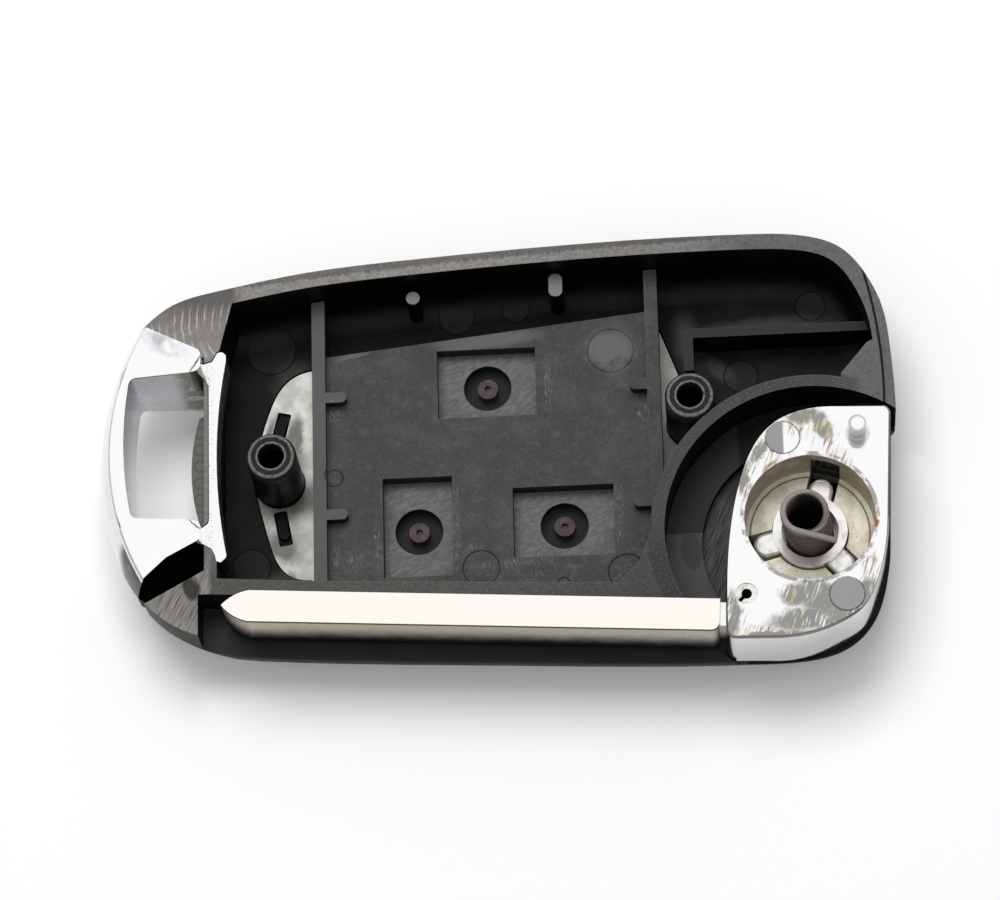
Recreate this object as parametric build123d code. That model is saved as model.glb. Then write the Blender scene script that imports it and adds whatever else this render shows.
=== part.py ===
from build123d import *
import math
import os

# Front half of a flip key remote shell, lying on its front face with the open side up.
# Millimetres. X runs along the key (key ring at -X, flip head at +X), Y across it, Z up.
# Overall shell
body_length = 77.6
body_width = 42.45
head_round = 16.0
ring_round = 19.9
shell_depth = 9.75
wall = 1.6
floor = 2.0
edge_round = 5.0
inner_round = 2.5
outline_steps = 48
seat_gap = 0.06
fit_gap = 0.03
slide_gap = 0.12

# Key-ring bow
bow_reach = 10.45
bow_top = 12.0
front_rise = 1.8
rise_length = 13.0
bow_barrel = 27.8
bow_lean = 1.8
bulge_height = 5.0
bow_rim = 1.1
window_back = 8.2
window_front = 6.6
window_corner = 0.8
window_middle = 20.9
limb_nose = 0.8
strip_set = 0.47
strip_wide = 0.75
strip_flare = 0.93
strip_back = 10.85
strip_front = 12.3
strip_top = 9.6
end_wall_top = 6.0
end_wall_bulge = 1.68
end_wall_flat = 0.85
end_wall_back = 5.7
end_wall_front = 5.6
bow_shelf = 4.0
bow_slit = 2.4
back_seat_drop = 10.4
back_slope = 0.5
front_seat_rise = 12.5
front_slope = 0.54
front_steps = ((0, 0), (3.4, 1.75), (5.45, 3.65), (9.0, 7.1), (20.0, 18.0))

# Flip head and its bay
pivot_inset = 8.8
pivot_rise = 12.0
swing_radius = 14.36
bay_shift = (0.4, -0.1)
arc_wall = 1.15
arc_start = 57.0
bay_floor = 4.4
well_radius = 10.45
well_floor = 3.4
bore_floor = 1.7
bore_fit = 0.08
foot_radius = 6.05
head_height = 12.25
head_bottom = 4.75
head_edge = 0.2
pocket_radius = 6.25
pocket_floor = 7.3
head_peg_radius = 0.85
head_peg_tall = 2.4
head_peg_place = (4.9, 8.4)
head_corner_round = 0.9
wall_notch = 0.5
wall_notch_top = 10.9

# Blade, its tang and the roll pin, set from the pivot
blade_thick = 3.1
blade_wide = 6.0
blade_root = 8.35
blade_long = 47.6
blade_point = 2.6
point_reach = 0.58
point_bend = 0.62
blade_root_round = 0.8
blade_turn = 3.67
blade_offset = 9.85
blade_under = 0.25
blade_clear = 0.8
tip_gap = 2.5
rail_gap = 0.25
tang_long = 5.4
tang_wide = 2.3
tang_tall = 4.6
tang_set = 0.15
pin_radius = 1.04
pin_bore = 0.5
pin_slit = 0.35
pin_slit_angle = 225.0
pin_foot = 0.6
pin_place = (5.85, 7.8)
pin_sink = 0.15

# Release button and flip spring, on the pivot
release_radius = 4.9
release_sink = 0.2
release_face = 1.4
release_edge = 0.5
hub_radius = 3.6
hub_top = 8.2
hub_bore = 2.75
hub_seat = 3.0
lug_reach = 5.6
lug_wide = 2.3
lug_dome = 0.35
lug_slot_wide = 2.9
lug_slot_gap = 0.15
lug_bottom = 1.9
lug_top = 7.8
lug_angles = (73.8, 194.3, 312.5)
release_travel = 2.0
spring_wire = 0.42
spring_pitch = 0.48
spring_radius = 1.98
spring_turns = 21
spring_lean = 3.8
spring_shift = 0.16
spring_tail = 3.8
tail_angle = 250.0

# Ribs, screw bosses and pegs inside the shell
rib_top = 6.0
rib_thick = 1.3
left_rib = -17.45
right_rib = 15.45
tab_thick = 1.08
tab_reach = 2.06
tab_reach_right = 1.68
tab_back = 7.5
tab_front = -4.68
bay_rib_thick = 0.95
bay_rib_x = 18.98
bay_rib_y = 12.53
bay_rib_round = 0.9
boss_radius = 2.45
boss_round = 0.6
boss_foot = 0.5
boss_top = 10.0
screw_radius = 1.25
screw_depth = 7.0
screw_mouth = 0.1
boss_left = (-21.8, 0.2)
boss_right = (19.0, 4.6)
wall_peg_radius = 0.68
wall_peg_foot = 1.6
wall_peg_top = 7.0
wall_peg_drop = 2.4
wall_bar_drop = 1.7
wall_bar_long = 2.4
wall_peg_places = (-7.93, 6.16)

# Backing plate under the carrier
front_wall = 1.2
plate_thick = 0.6
plate_gap = 0.1
slot_wide = 1.35
slot_corner = 0.15
peg_room = 0.18
peg_short = 1.3
plate_slots = (
    {"centre": (-21.65, 6.05), "long": 3.3, "turn": -14.0},
    {"centre": (-21.5, -4.45), "long": 3.6, "turn": 10.0},
)

# Button carrier and the three buttons
carrier_top = 4.8
recess_depth = 1.6
well_bore = 2.35
cap_margin = 0.35
cap_corner = 1.6
button_sink = 0.2
button_edge = 0.25
flange_lap = 0.6
flange_thick = 0.4
flange_gap = 0.05
stem_radius = 1.0
stem_top = 3.0
dimple_radius = 0.35
dimple_depth = 0.4
spigot_radius = 0.6
spigot_long = 0.5
button_travel = 0.5

right_end = body_length / 2
left_end = -right_end
back_edge = body_width / 2
front_edge = -back_edge
buttons = {
    "lock": {"centre": (-0.98, back_edge - 12.45), "size": (9.7, 7.1)},
    "unlock": {"centre": (-8.0, front_edge + 15.32), "size": (6.8, 10.2)},
    "trunk": {"centre": (6.22, front_edge + 15.3), "size": (9.85, 7.2)},
}
pivot = (right_end - pivot_inset, front_edge + pivot_rise)
bay_centre = (pivot[0] + bay_shift[0], pivot[1] + bay_shift[1])
ring_seat = left_end + bow_reach
strip_outer = ring_seat + strip_set
strip_inner = strip_outer + strip_wide
blade_bottom = head_height - blade_under - blade_wide
slot_floor = blade_bottom - blade_clear
flange_top = front_wall + flange_gap + flange_thick
blade_angle = math.radians(blade_turn)
blade_tip = blade_root + blade_long


def along_blade(distance, offset):
    """A plan point at a distance along the blade from the pivot, and an offset in front of it."""
    x = pivot[0] - distance * math.cos(blade_angle) - offset * math.sin(blade_angle)
    y = pivot[1] + distance * math.sin(blade_angle) - offset * math.cos(blade_angle)
    return (x, y)


def from_pivot(points):
    return [(pivot[0] + x, pivot[1] + y) for x, y in points]


def raise_face(face, bottom, top):
    """An upright solid over a flat face."""
    return extrude(face, top - bottom, dir=(0, 0, 1)).moved(Pos(0, 0, bottom))


def prism(points, bottom, top):
    """An upright solid over a straight-sided outline."""
    return raise_face(make_face(Polyline(*points, close=True)), bottom, top)


def post(place, radius, bottom, top):
    """An upright round post."""
    upright = (Align.CENTER, Align.CENTER, Align.MIN)
    return Cylinder(radius, top - bottom, align=upright).moved(Pos(place[0], place[1], bottom))


def block(x0, x1, y0, y1, bottom, top):
    """An upright box between two corners."""
    return Box(x1 - x0, y1 - y0, top - bottom, align=(Align.MIN, Align.MIN, Align.MIN)).moved(
        Pos(x0, y0, bottom)
    )


def pad(place, size, corner, bottom, top):
    """An upright box with rounded corners about a centre."""
    return raise_face(RectangleRounded(size[0], size[1], corner), 0, top - bottom).moved(
        Pos(place[0], place[1], bottom)
    )


def obround(place, long, wide, turn, bottom, top):
    """An upright round-ended bar, lying along Y before its turn."""
    face = SlotOverall(long, wide)
    bar = raise_face(face, 0, top - bottom)
    return bar.moved(Location((place[0], place[1], bottom), (0, 0, 90 + turn)))


def key_outline():
    """The widest outline of the closed key, as shares of its round ends and of its width."""
    head_side = (
        (1.0, 0.0), (0.5625, 0.0035), (0.3313, 0.0318), (0.1938, 0.0825), (0.1063, 0.1649),
        (0.0563, 0.2827), (0.0, 0.5901), (0.0125, 0.6938), (0.0531, 0.8115), (0.1438, 0.8916),
        (0.2875, 0.9576), (0.5, 0.9894), (0.8438, 1.0),
    )
    ring_side = (
        (1.0, 0.9529), (0.5779, 0.9176), (0.3719, 0.8893), (0.2312, 0.8375), (0.0804, 0.7314),
        (0.0201, 0.6349), (0.0, 0.5241), (0.0151, 0.424), (0.0653, 0.318), (0.1809, 0.1979),
        (0.3166, 0.1272), (0.5276, 0.0777), (0.8442, 0.0542),
    )
    points = [(right_end - head_round * x, front_edge + body_width * y) for x, y in head_side]
    points += [(0.129 * body_length, front_edge + 0.9965 * body_width),
               (-0.116 * body_length, front_edge + 0.9741 * body_width)]
    points += [(left_end + ring_round * x, front_edge + body_width * y) for x, y in ring_side]
    points.append((0.0, front_edge + 0.0224 * body_width))
    return Spline(*points, periodic=True)


def inset_points(edge, inset, steps, share):
    """Points along a counter-clockwise edge, moved inwards from it."""
    points = []
    for step in range(steps):
        spot = edge @ (step / share)
        way = edge % (step / share)
        points.append((spot.X - inset * way.Y, spot.Y + inset * way.X))
    return points


def inset_outline(inset):
    """The key's outline moved inwards, as a smooth curve of its own."""
    points = inset_points(key_outline(), inset, outline_steps, outline_steps)
    return Spline(*points, periodic=True)


def outer_form(top):
    """The outside of the closed key up to a height, with its rounded front edge."""
    radius = (rise_length ** 2 + front_rise ** 2) / (2 * front_rise)
    start = left_end + rise_length
    reach = rise_length + edge_round
    lift = radius - math.sqrt(radius ** 2 - reach ** 2)
    curve = RadiusArc((start - reach, lift), (start, 0), radius)
    rest = Polyline((start, 0), (right_end + wall, 0), (right_end + wall, top), (start - reach, top),
                    (start - reach, lift))
    side = Plane.XZ * make_face(curve + rest)
    above = extrude(side, body_width, both=True)
    solid = raise_face(make_face(key_outline()), 0, top) & above
    rim = [edge for edge in solid.edges() if edge.bounding_box().max.Z < edge_round]
    return fillet([edge for edge in rim if edge.length > wall], edge_round)


def inner_form(inset, bottom, top):
    """The hollow of the shell, a wall in from its outside."""
    solid = raise_face(make_face(inset_outline(inset)), bottom, top)
    return fillet(solid.edges().group_by(Axis.Z)[0], inner_round)


def back_seat(gap):
    """Plan line where the bow meets the back corner of the shell, from the ring seat outwards."""
    start = (ring_seat, back_edge - back_seat_drop - gap)
    reach = body_width / 2
    return [start, (start[0] - reach, start[1] + back_slope * reach)]


def front_seat(gap):
    """Plan line of the bow's front end, from the ring seat outwards."""
    start = front_edge + front_seat_rise + gap
    return [(ring_seat - x, start - y) for x, y in front_steps]


def bow_zone(gap):
    """Upright zone on the ring side of both seats, less a gap."""
    back = back_seat(gap)
    front = front_seat(gap)
    outline = [back[1], (ring_seat - gap, back[0][1]), (ring_seat - gap, front[0][1]), *front[1:]]
    return prism(outline, -wall, shell_depth + bow_top)


def end_wall():
    """The wall that closes the shell behind the ring, with its bulge into the ring window."""
    middle = back_edge - window_middle
    flat = ring_seat - end_wall_flat
    front = front_edge + front_seat_rise / 2
    back = back_edge - back_seat_drop
    bulge = ThreePointArc(
        (flat, middle + end_wall_back), (ring_seat - end_wall_bulge, middle), (flat, middle - end_wall_front)
    )
    rest = Polyline(
        (flat, middle - end_wall_front), (ring_seat, middle - end_wall_front), (ring_seat, front),
        (strip_inner, front), (strip_inner, back), (ring_seat, back), (ring_seat, middle + end_wall_back),
        (flat, middle + end_wall_back),
    )
    solid = raise_face(make_face(bulge + rest), -wall, end_wall_top)
    corners = [edge for edge in solid.edges().filter_by(Axis.Z) if edge.center().X < ring_seat - wall / 4]
    return fillet(corners, end_wall_flat / 2)


def blade_line(offset, reach):
    """A plan line along the blade, from beyond its tip to past its root."""
    return [along_blade(blade_tip + reach, offset), along_blade(0, offset)]


def slot_end():
    """Where the open blade slot stops, past the tip of the blade."""
    return along_blade(blade_tip, blade_offset)[0] - tip_gap


def slot_zone(bottom):
    """Open slot in front of the rail that the blade swings out of."""
    back = blade_line(blade_offset - blade_thick / 2 - rail_gap, wall)
    x = slot_end()
    start = (x, back[0][1])
    return prism([start, *back, (back[1][0], front_edge - wall), (x, front_edge - wall)], bottom,
                 shell_depth + bow_top)


def rail_line():
    """Inner edge of the rail behind the blade."""
    return [(ring_seat - 0.7, front_edge + 9.35), (left_rib - rib_thick, front_edge + 8.6),
            (right_rib, front_edge + 6.85)]


def carrier_front(x):
    """Front edge of the button carrier, along the rail."""
    start, end = rail_line()[1:]
    slope = (end[1] - start[1]) / (end[0] - start[0])
    return start[1] + slope * (x - start[0]) + seat_gap


def near_solid():
    """All that fills the shell in front of the rail's inner edge."""
    line = rail_line()
    return prism([*line, (right_rib, front_edge - wall), (left_end, front_edge - wall),
                  (left_end, line[0][1])], 0, shell_depth)


def back_corner():
    """Solid corner beside the bow's back seat, with a tip that nests by the bow's strip."""
    seat = back_seat(0)
    tip = back_edge - strip_back
    outline = [
        seat[1], seat[0], (ring_seat + 0.05, tip + 0.1), (strip_outer - 0.13, tip - 0.1),
        (strip_outer + 0.4, tip + 0.1), (strip_inner, tip + 0.7), (strip_inner + 0.33, tip + 1.2),
        (strip_inner + 0.78, tip + 3.05), (strip_inner + 1.6, tip + 6.1), (strip_inner + 2.4, back_edge),
        (seat[1][0], back_edge),
    ]
    return prism(outline, 0, shell_depth)


def head_corner():
    """Solid corner between the side wall and the swing of the head."""
    points = [(9.0, 8.0), (3.8, 13.3), (3.7, 15.45), (6.35, 18.55), (11.0, 20.5)]
    return prism(from_pivot(points), 0, shell_depth)


def rail_corner():
    """Fill where the rail runs into the curved wall of the head's bay."""
    points = [(-18.6, -5.0), (-16.4, -2.8), (-14.8, 1.2), (-13.0, 0.0), (-13.0, -8.0), (-18.6, -8.0)]
    return prism(from_pivot(points), 0, shell_depth)


def swept_arc():
    """Curved wall round the bay of the flip head."""
    ring = post(bay_centre, swing_radius + arc_wall, 0, shell_depth)
    ring -= post(bay_centre, swing_radius, -1, bow_top)
    start = math.radians(arc_start)
    reach = 2 * swing_radius
    cut = prism(
        [pivot, (pivot[0] + reach * math.cos(start), pivot[1] + reach * math.sin(start)),
         (pivot[0] + reach, pivot[1] + reach), (pivot[0] + reach, pivot[1] - reach),
         (pivot[0], pivot[1] - reach)],
        -1, bow_top,
    )
    return ring - cut


def plate_outline(grow):
    """Outline of the backing plate: a rounded ring end, straight sides and a hollow for the bay."""
    end = left_rib - rib_thick
    curve = Spline(
        (end, 11.95), (end - 2.5, 10.6), (end - 4.3, 6.9), (end - 5.45, 0.0), (end - 4.4, -4.6),
        (end - 3.1, -8.4), (end, -9.9),
    )
    steps = 9
    points = inset_points(curve, -grow, steps, steps - 1)
    right = right_rib + grow
    rest = Polyline(
        points[-1], (end + 1.6, -11.9 - grow), (right_rib - 4.6, -13.1 - grow),
        (right - 2.1, -11.3 - grow), (right + 4.2, -8.0), (right + 4.2, 2.0), (right + 2.3, 10.0),
        (right + 0.7, 14.4 + grow), points[0],
    )
    bay = Pos(*bay_centre) * Circle(swing_radius + arc_wall + plate_gap - grow)
    return make_face(Spline(*points) + rest) - bay


def button_face(spec, grow, corner):
    size = [length - 2 * cap_margin + 2 * grow for length in spec["size"]]
    return Pos(*spec["centre"]) * RectangleRounded(size[0], size[1], corner + grow)


def front_housing():
    """The moulded shell with its ribs, rail, bay and screw bosses."""
    outside = outer_form(shell_depth)
    inside = inner_form(wall, floor, bow_top)
    hollow = inside & block(strip_inner, right_end, front_edge, back_edge, floor, bow_top)
    bay = post(bay_centre, swing_radius + arc_wall, 0, bay_floor)
    for solid in (near_solid(), back_corner(), head_corner(), rail_corner(), swept_arc(), bay):
        hollow -= solid
    shell = outside - hollow
    shell -= bow_zone(0)
    shell += outside & end_wall()
    shell -= raise_face(strip_outline(seat_gap), end_wall_top, bow_top)
    shell -= front_slit()
    shell -= slot_zone(slot_floor)
    shell -= post(bay_centre, swing_radius, bay_floor, bow_top)
    shell -= post(pivot, well_radius, well_floor, bow_top) & inside
    shell -= post(pivot, release_radius + slide_gap, -1, bore_floor)
    shell -= post(pivot, foot_radius + bore_fit, bore_floor, well_floor + 1)
    shell -= side_flat()
    shell -= raise_face(plate_outline(plate_gap), front_wall, floor + wall)
    for spec in buttons.values():
        shell -= raise_face(button_face(spec, slide_gap, cap_corner), -1, floor)
    shell += bay_rib() & inner_form(wall / 2, 0, shell_depth) & outside
    for place in (boss_left, boss_right):
        shell += screw_boss(place)
        shell -= post(place, screw_radius, boss_top - screw_depth, boss_top)
        shell -= screw_mouth_cut(place)
    shell += wall_pegs()
    for spec in plate_slots:
        shell += slot_peg(spec)
    return shell


def side_flat():
    """Flat on the side of the floor under the head, so that the head's side covers it."""
    outline = from_pivot([(8.35, 11.2), (7.6, -3.0), (10.0, -3.0), (10.0, 11.2)])
    return prism(outline, -1, bay_floor + 1)


def screw_boss(place):
    """Round boss with a rounded top."""
    boss = post(place, boss_radius, boss_foot, boss_top)
    return fillet(boss.faces().sort_by(Axis.Z)[-1].edges(), boss_round)


def screw_mouth_cut(place):
    """Chamfered mouth of a screw hole."""
    upright = (Align.CENTER, Align.CENTER, Align.MAX)
    cone = Cone(screw_radius, screw_radius + screw_mouth, screw_mouth, align=upright)
    return cone.moved(Pos(place[0], place[1], boss_top))


def wall_pegs():
    """A round peg and a round-ended bar that stand beside the far wall."""
    back_face = back_edge - wall
    peg = post((wall_peg_places[0], back_face - wall_peg_drop), wall_peg_radius, wall_peg_foot,
               wall_peg_top)
    bar = pad((wall_peg_places[1], back_face - wall_bar_drop), (2 * wall_peg_radius, wall_bar_long),
              wall_peg_radius * 0.9, wall_peg_foot, wall_peg_top)
    return peg + bar


def slot_peg(spec):
    """Round-ended peg that stands in a slot of the backing plate."""
    return obround(spec["centre"], spec["long"] - peg_short, slot_wide - 2 * peg_room, spec["turn"],
                   boss_foot, front_wall + plate_thick)


def bay_rib():
    """L-shaped rib in the corner compartment, from beside the boss to the side wall."""
    half = bay_rib_thick / 2
    left = bay_rib_x - half
    back = bay_rib_y + half
    upright = block(left, bay_rib_x + half, boss_right[1] + boss_radius + wall, back, boss_foot, rib_top)
    across = block(left, right_end, bay_rib_y - half, back, boss_foot, rib_top)
    rib = upright + across
    corner = [edge for edge in rib.edges().filter_by(Axis.Z)
              if math.dist((edge.center().X, edge.center().Y), (left, back)) < half / 2]
    return fillet(corner, bay_rib_round)


def strip_outline(gap):
    """The bow's curved strip with its two arms and the webs that join it to the limbs."""
    back = back_edge - strip_back
    front = front_edge + strip_front
    middle = back_edge - window_middle
    limb = ring_seat - limb_nose
    flare = strip_inner + strip_flare
    top = (flare, back)
    bottom = (flare, front - 0.75)
    curve = ThreePointArc(top, (strip_inner, middle), bottom)
    rest = Polyline(
        bottom, (flare - 0.1, front - 1.0), (strip_inner + 0.36, front - 1.42),
        (strip_inner - 0.07, front - 1.25), (strip_inner - 0.18, front - 0.68), (strip_outer + 0.25, front),
        (strip_outer - 0.29, front + 0.36), (limb, front + 0.9), (limb, front + 1.7),
        (strip_outer - 0.1, front + 2.6), (strip_outer, front + 2.9), (strip_outer, back - 2.45),
        (strip_outer - 0.48, back - 1.6), (limb, back - 1.1), (limb, back - 0.45),
        (ring_seat + 0.2, back - 0.12), (strip_outer + 0.3, back + 0.02), (strip_inner + 0.1, back + 0.95),
        (strip_inner + 0.55, back + 1.03), (flare, back + 0.7), top,
    )
    face = make_face(curve + rest)
    return offset(face, gap, kind=Kind.INTERSECTION) if gap else face


def front_slit():
    """Open gap between the bow's front end and the solid corner before it, above a low shelf."""
    line = front_seat(0)[:4]
    x, y = line[0]
    reach = x - line[-1][0]
    outline = [*line, (x - reach, y - bow_slit - front_slope * reach), (x, y - bow_slit)]
    return prism(outline, bow_shelf, bow_top)


def keyring_bow():
    """Bright cast bow with its ring window, strip and T-shaped ends."""
    axis_x = left_end + bow_barrel
    radius = ((bow_top - bulge_height) ** 2 + bow_lean ** 2) / (2 * bow_lean)
    start = (bow_barrel + wall / 8, bulge_height)
    end = (start[0] - bow_lean, bow_top)
    side = RadiusArc(start, end, -radius)
    rest = Polyline(end, (0, bow_top), (0, -1), (start[0], -1), start)
    barrel = revolve(Plane.XZ * make_face(side + rest), Axis.Z)
    middle = back_edge - window_middle
    solid = outer_form(bow_top) & bow_zone(seat_gap) & barrel.moved(Pos(axis_x, middle, 0))
    solid -= ring_window()
    noses = [edge for edge in solid.edges().filter_by(Axis.Z) if edge.center().X > ring_seat - limb_nose]
    solid = fillet(noses, limb_nose)
    return solid + raise_face(strip_outline(0), end_wall_top + seat_gap, strip_top)


def ring_window():
    """The opening that takes the key ring."""
    rim = left_end + bow_lean + bow_rim
    middle = back_edge - window_middle
    front = middle - window_front
    back = middle + window_back
    arc = ThreePointArc((rim + 0.55, back - 0.4), (rim, middle), (rim + 0.75, front))
    rest = Polyline(
        (rim + 0.75, front), (ring_seat - 1.1, front - 0.4), (strip_outer, front - 0.8),
        (strip_outer, back + 0.3), (ring_seat - 1.1, back), (rim + 0.55, back - 0.4),
    )
    solid = raise_face(make_face(arc + rest), -1, bow_top + 1)
    corners = [edge for edge in solid.edges().filter_by(Axis.Z) if edge.center().X < rim + 2]
    return fillet(corners, window_corner)


def backing_plate():
    """Thin light plate on the front wall, cleared for the bosses, buttons and pegs."""
    bottom = front_wall
    top = front_wall + plate_thick
    plate = raise_face(plate_outline(0), bottom, top)
    for place in (boss_left, boss_right):
        plate -= post(place, boss_radius + plate_gap, 0, floor)
    for spec in buttons.values():
        plate -= raise_face(button_face(spec, flange_lap + 2 * slide_gap, cap_corner), 0, floor)
    for spec in plate_slots:
        slot = raise_face(RectangleRounded(spec["long"], slot_wide, slot_corner), 0, floor)
        plate -= slot.moved(Location((*spec["centre"], 0), (0, 0, 90 + spec["turn"])))
    return plate


def button_carrier():
    """Moulding over the buttons with its two cross ribs, tabs and three recesses."""
    left = left_rib - rib_thick / 2
    right = right_rib + rib_thick / 2
    body = prism([(left, carrier_front(left)), (right, carrier_front(right)), (right, 15.65),
                  (left + rib_thick, 12.2), (left, 11.7)], floor, carrier_top)
    room = inner_form(wall + slide_gap, floor, bow_top)
    for x in (left_rib, right_rib):
        x0, x1 = x - rib_thick / 2, x + rib_thick / 2
        rib = prism([(x0, carrier_front(x0)), (x1, carrier_front(x1)), (x1, back_edge), (x0, back_edge)],
                    floor, rib_top)
        body += rib & room
    for y in (tab_back, tab_front):
        body += round_tab(left_rib, left_rib + rib_thick / 2 + tab_reach, y)
        body += round_tab(right_rib, right_rib - rib_thick / 2 - tab_reach_right, y)
    body -= post(bay_centre, swing_radius + arc_wall + plate_gap, 0, bow_top)
    body -= rail_corner_gap()
    for spec in buttons.values():
        recess = Pos(*spec["centre"]) * Rectangle(*spec["size"])
        body -= raise_face(recess, carrier_top - recess_depth, carrier_top + 1)
        hollow = button_face(spec, flange_lap + 2 * slide_gap, cap_corner)
        body -= raise_face(hollow, 0, flange_top + button_travel + slide_gap)
        body -= post(spec["centre"], well_bore, 0, carrier_top)
    return body


def round_tab(root, tip, y):
    """Round-ended tab on the carrier that runs out from a rib."""
    half = tab_thick / 2
    end = tip - math.copysign(half, tip - root)
    bar = block(min(root, end), max(root, end), y - half, y + half, floor + 1, rib_top)
    return bar + post((end, y), half, floor + 1, rib_top)


def rail_corner_gap():
    """Room for the fill at the end of the rail."""
    points = [(-18.8, -5.4), (-18.7, -4.8), (-16.5, -2.6), (-14.9, 1.5), (-12.5, 0.0), (-12.5, -8.0),
              (-18.8, -8.0)]
    return prism(from_pivot(points), 0, bow_top)


def button_cap(spec):
    """Rubber button: a face through the front wall and a flange behind it."""
    rest = front_wall + flange_gap
    cap = raise_face(button_face(spec, 0, cap_corner), button_sink, flange_top)
    cap += raise_face(button_face(spec, flange_lap, cap_corner), rest, flange_top)
    face = cap.faces().sort_by(Axis.Z)[0]
    cap = fillet(face.edges(), button_edge)
    return cap - post(spec["centre"], spigot_radius + fit_gap, flange_top - spigot_long, floor)


def button_stem(spec):
    """Stem that presses the switch, with a dimple in its end."""
    stem = post(spec["centre"], stem_radius, flange_top, stem_top)
    stem += post(spec["centre"], spigot_radius, flange_top - spigot_long + fit_gap, flange_top)
    return stem - post(spec["centre"], dimple_radius, stem_top - dimple_depth, stem_top + 1)


def head_outline():
    """Plan outline of the flip head about the pivot."""
    right = Line((8.25, 11.05), (7.56, -0.1))
    corner = Spline(
        (7.56, -0.1), (7.13, -3.0), (6.05, -6.75), (4.75, -9.1), (3.0, -10.35), (-0.4, -11.6),
        (-4.0, -11.88),
    )
    front = Polyline((-4.0, -11.88), (-8.4, -11.75), (-8.4, -9.9))
    side = Spline(
        (-8.4, -9.9), (-8.12, -5.1), (-7.45, 0.2), (-6.56, 4.05), (-4.54, 8.44), (-3.0, 9.96),
        (-1.14, 10.85), (2.5, 11.3),
    )
    back = Line((2.5, 11.3), (8.25, 11.05))
    return Pos(*pivot) * make_face(right + corner + front + side + back)


def around_pivot(solid, angles):
    """Copies of a solid that lies along X, turned to angles about the pivot."""
    return Compound([solid.moved(Location((*pivot, 0), (0, 0, angle))) for angle in angles])


def release_lugs():
    """The three round-ended lugs of the release button, with softened tops."""
    tip = lug_reach - lug_wide / 2
    bar = block(0, tip, -lug_wide / 2, lug_wide / 2, lug_bottom, lug_top)
    lug = bar + post((tip, 0), lug_wide / 2, lug_bottom, lug_top)
    lug = fillet(lug.faces().sort_by(Axis.Z)[-1].edges(), lug_dome)
    return around_pivot(lug, lug_angles)


def lug_slots():
    """The three slots of the head that the lugs pass through; the first runs up the pocket's wall."""
    half = lug_slot_wide / 2
    reach = pocket_radius + lug_slot_gap
    slot = block(0, reach, -half, half, 0, pocket_floor + 1)
    notch = block(0, pocket_radius + wall_notch, -half, half, pocket_floor - 1, wall_notch_top)
    return around_pivot(slot, lug_angles), around_pivot(notch, lug_angles[:1])


def tang_outline(gap, extra):
    """Tang of the blade inside the head, from the root of the blade."""
    back = blade_offset - blade_thick / 2 + tang_set
    return [
        along_blade(blade_root + extra, back + tang_wide + gap),
        along_blade(blade_root + extra, back - gap),
        along_blade(blade_root - tang_long - gap, back - gap),
        along_blade(blade_root - tang_long - gap, back + tang_wide + gap),
    ]


def flip_head():
    """Cast head that carries the blade, with a pocket for the release button and spring."""
    outline = head_outline()
    body = raise_face(outline, head_bottom, head_height)
    corners = [edge for edge in body.edges().filter_by(Axis.Z)
               if math.dist((edge.center().X, edge.center().Y), pivot) > swing_radius - 1]
    body = fillet(corners, head_corner_round)
    rim = body.faces().sort_by(Axis.Z)[-1].edges()
    body = chamfer(rim, head_edge)
    head = body + post(pivot, foot_radius, bore_floor + slide_gap, head_bottom)
    head -= post(pivot, pocket_radius, pocket_floor, head_height + 1)
    head -= post(pivot, hub_radius + slide_gap, 0, head_height)
    recess = release_sink + release_face + release_travel + slide_gap
    head -= post(pivot, release_radius + slide_gap, 0, recess)
    for slots in lug_slots():
        head -= slots
    middle = blade_bottom + blade_wide / 2
    head -= prism(tang_outline(fit_gap, foot_radius), middle - tang_tall / 2 - fit_gap,
                  middle + tang_tall / 2 + fit_gap)
    head -= post(along_blade(*pin_place), pin_radius, head_bottom + pin_foot, head_height + 1)
    peg = (pivot[0] + head_peg_place[0], pivot[1] + head_peg_place[1])
    return head + post(peg, head_peg_radius, head_height - 1, head_height + head_peg_tall)


def key_blade():
    """Uncut blade with a pointed tip and a narrower tang that the roll pin bites into."""
    half = blade_thick / 2
    shoulder = blade_tip - blade_point
    root = [along_blade(shoulder, blade_offset - half), along_blade(blade_root, blade_offset - half),
            along_blade(blade_root, blade_offset + half), along_blade(shoulder, blade_offset + half)]
    apex = along_blade(blade_tip, blade_offset)
    near = along_blade(shoulder + blade_point * point_reach, blade_offset + half * point_bend)
    far = along_blade(shoulder + blade_point * point_reach, blade_offset - half * point_bend)
    outline = Polyline(*root) + ThreePointArc(root[3], near, apex) + ThreePointArc(apex, far, root[0])
    blade = raise_face(make_face(outline), blade_bottom, blade_bottom + blade_wide)
    root_edges = [edge for edge in blade.edges().filter_by(Axis.Z)
                  if math.dist((edge.center().X, edge.center().Y), root[2]) < half / 2]
    blade = fillet(root_edges, blade_root_round)
    middle = blade_bottom + blade_wide / 2
    blade += prism(tang_outline(0, tang_set), middle - tang_tall / 2, middle + tang_tall / 2)
    return blade - post(along_blade(*pin_place), pin_radius + fit_gap, 0, head_height)


def blade_roll_pin():
    """Slit roll pin through the head, in a notch of the tang."""
    place = along_blade(*pin_place)
    pin = post(place, pin_radius, head_bottom + pin_foot, head_height - pin_sink)
    pin -= post(place, pin_bore, 0, head_height + 1)
    slit = block(0, 2 * pin_radius, -pin_slit / 2, pin_slit / 2, 0, head_height)
    return pin - slit.moved(Location((*place, 0), (0, 0, pin_slit_angle)))


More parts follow.
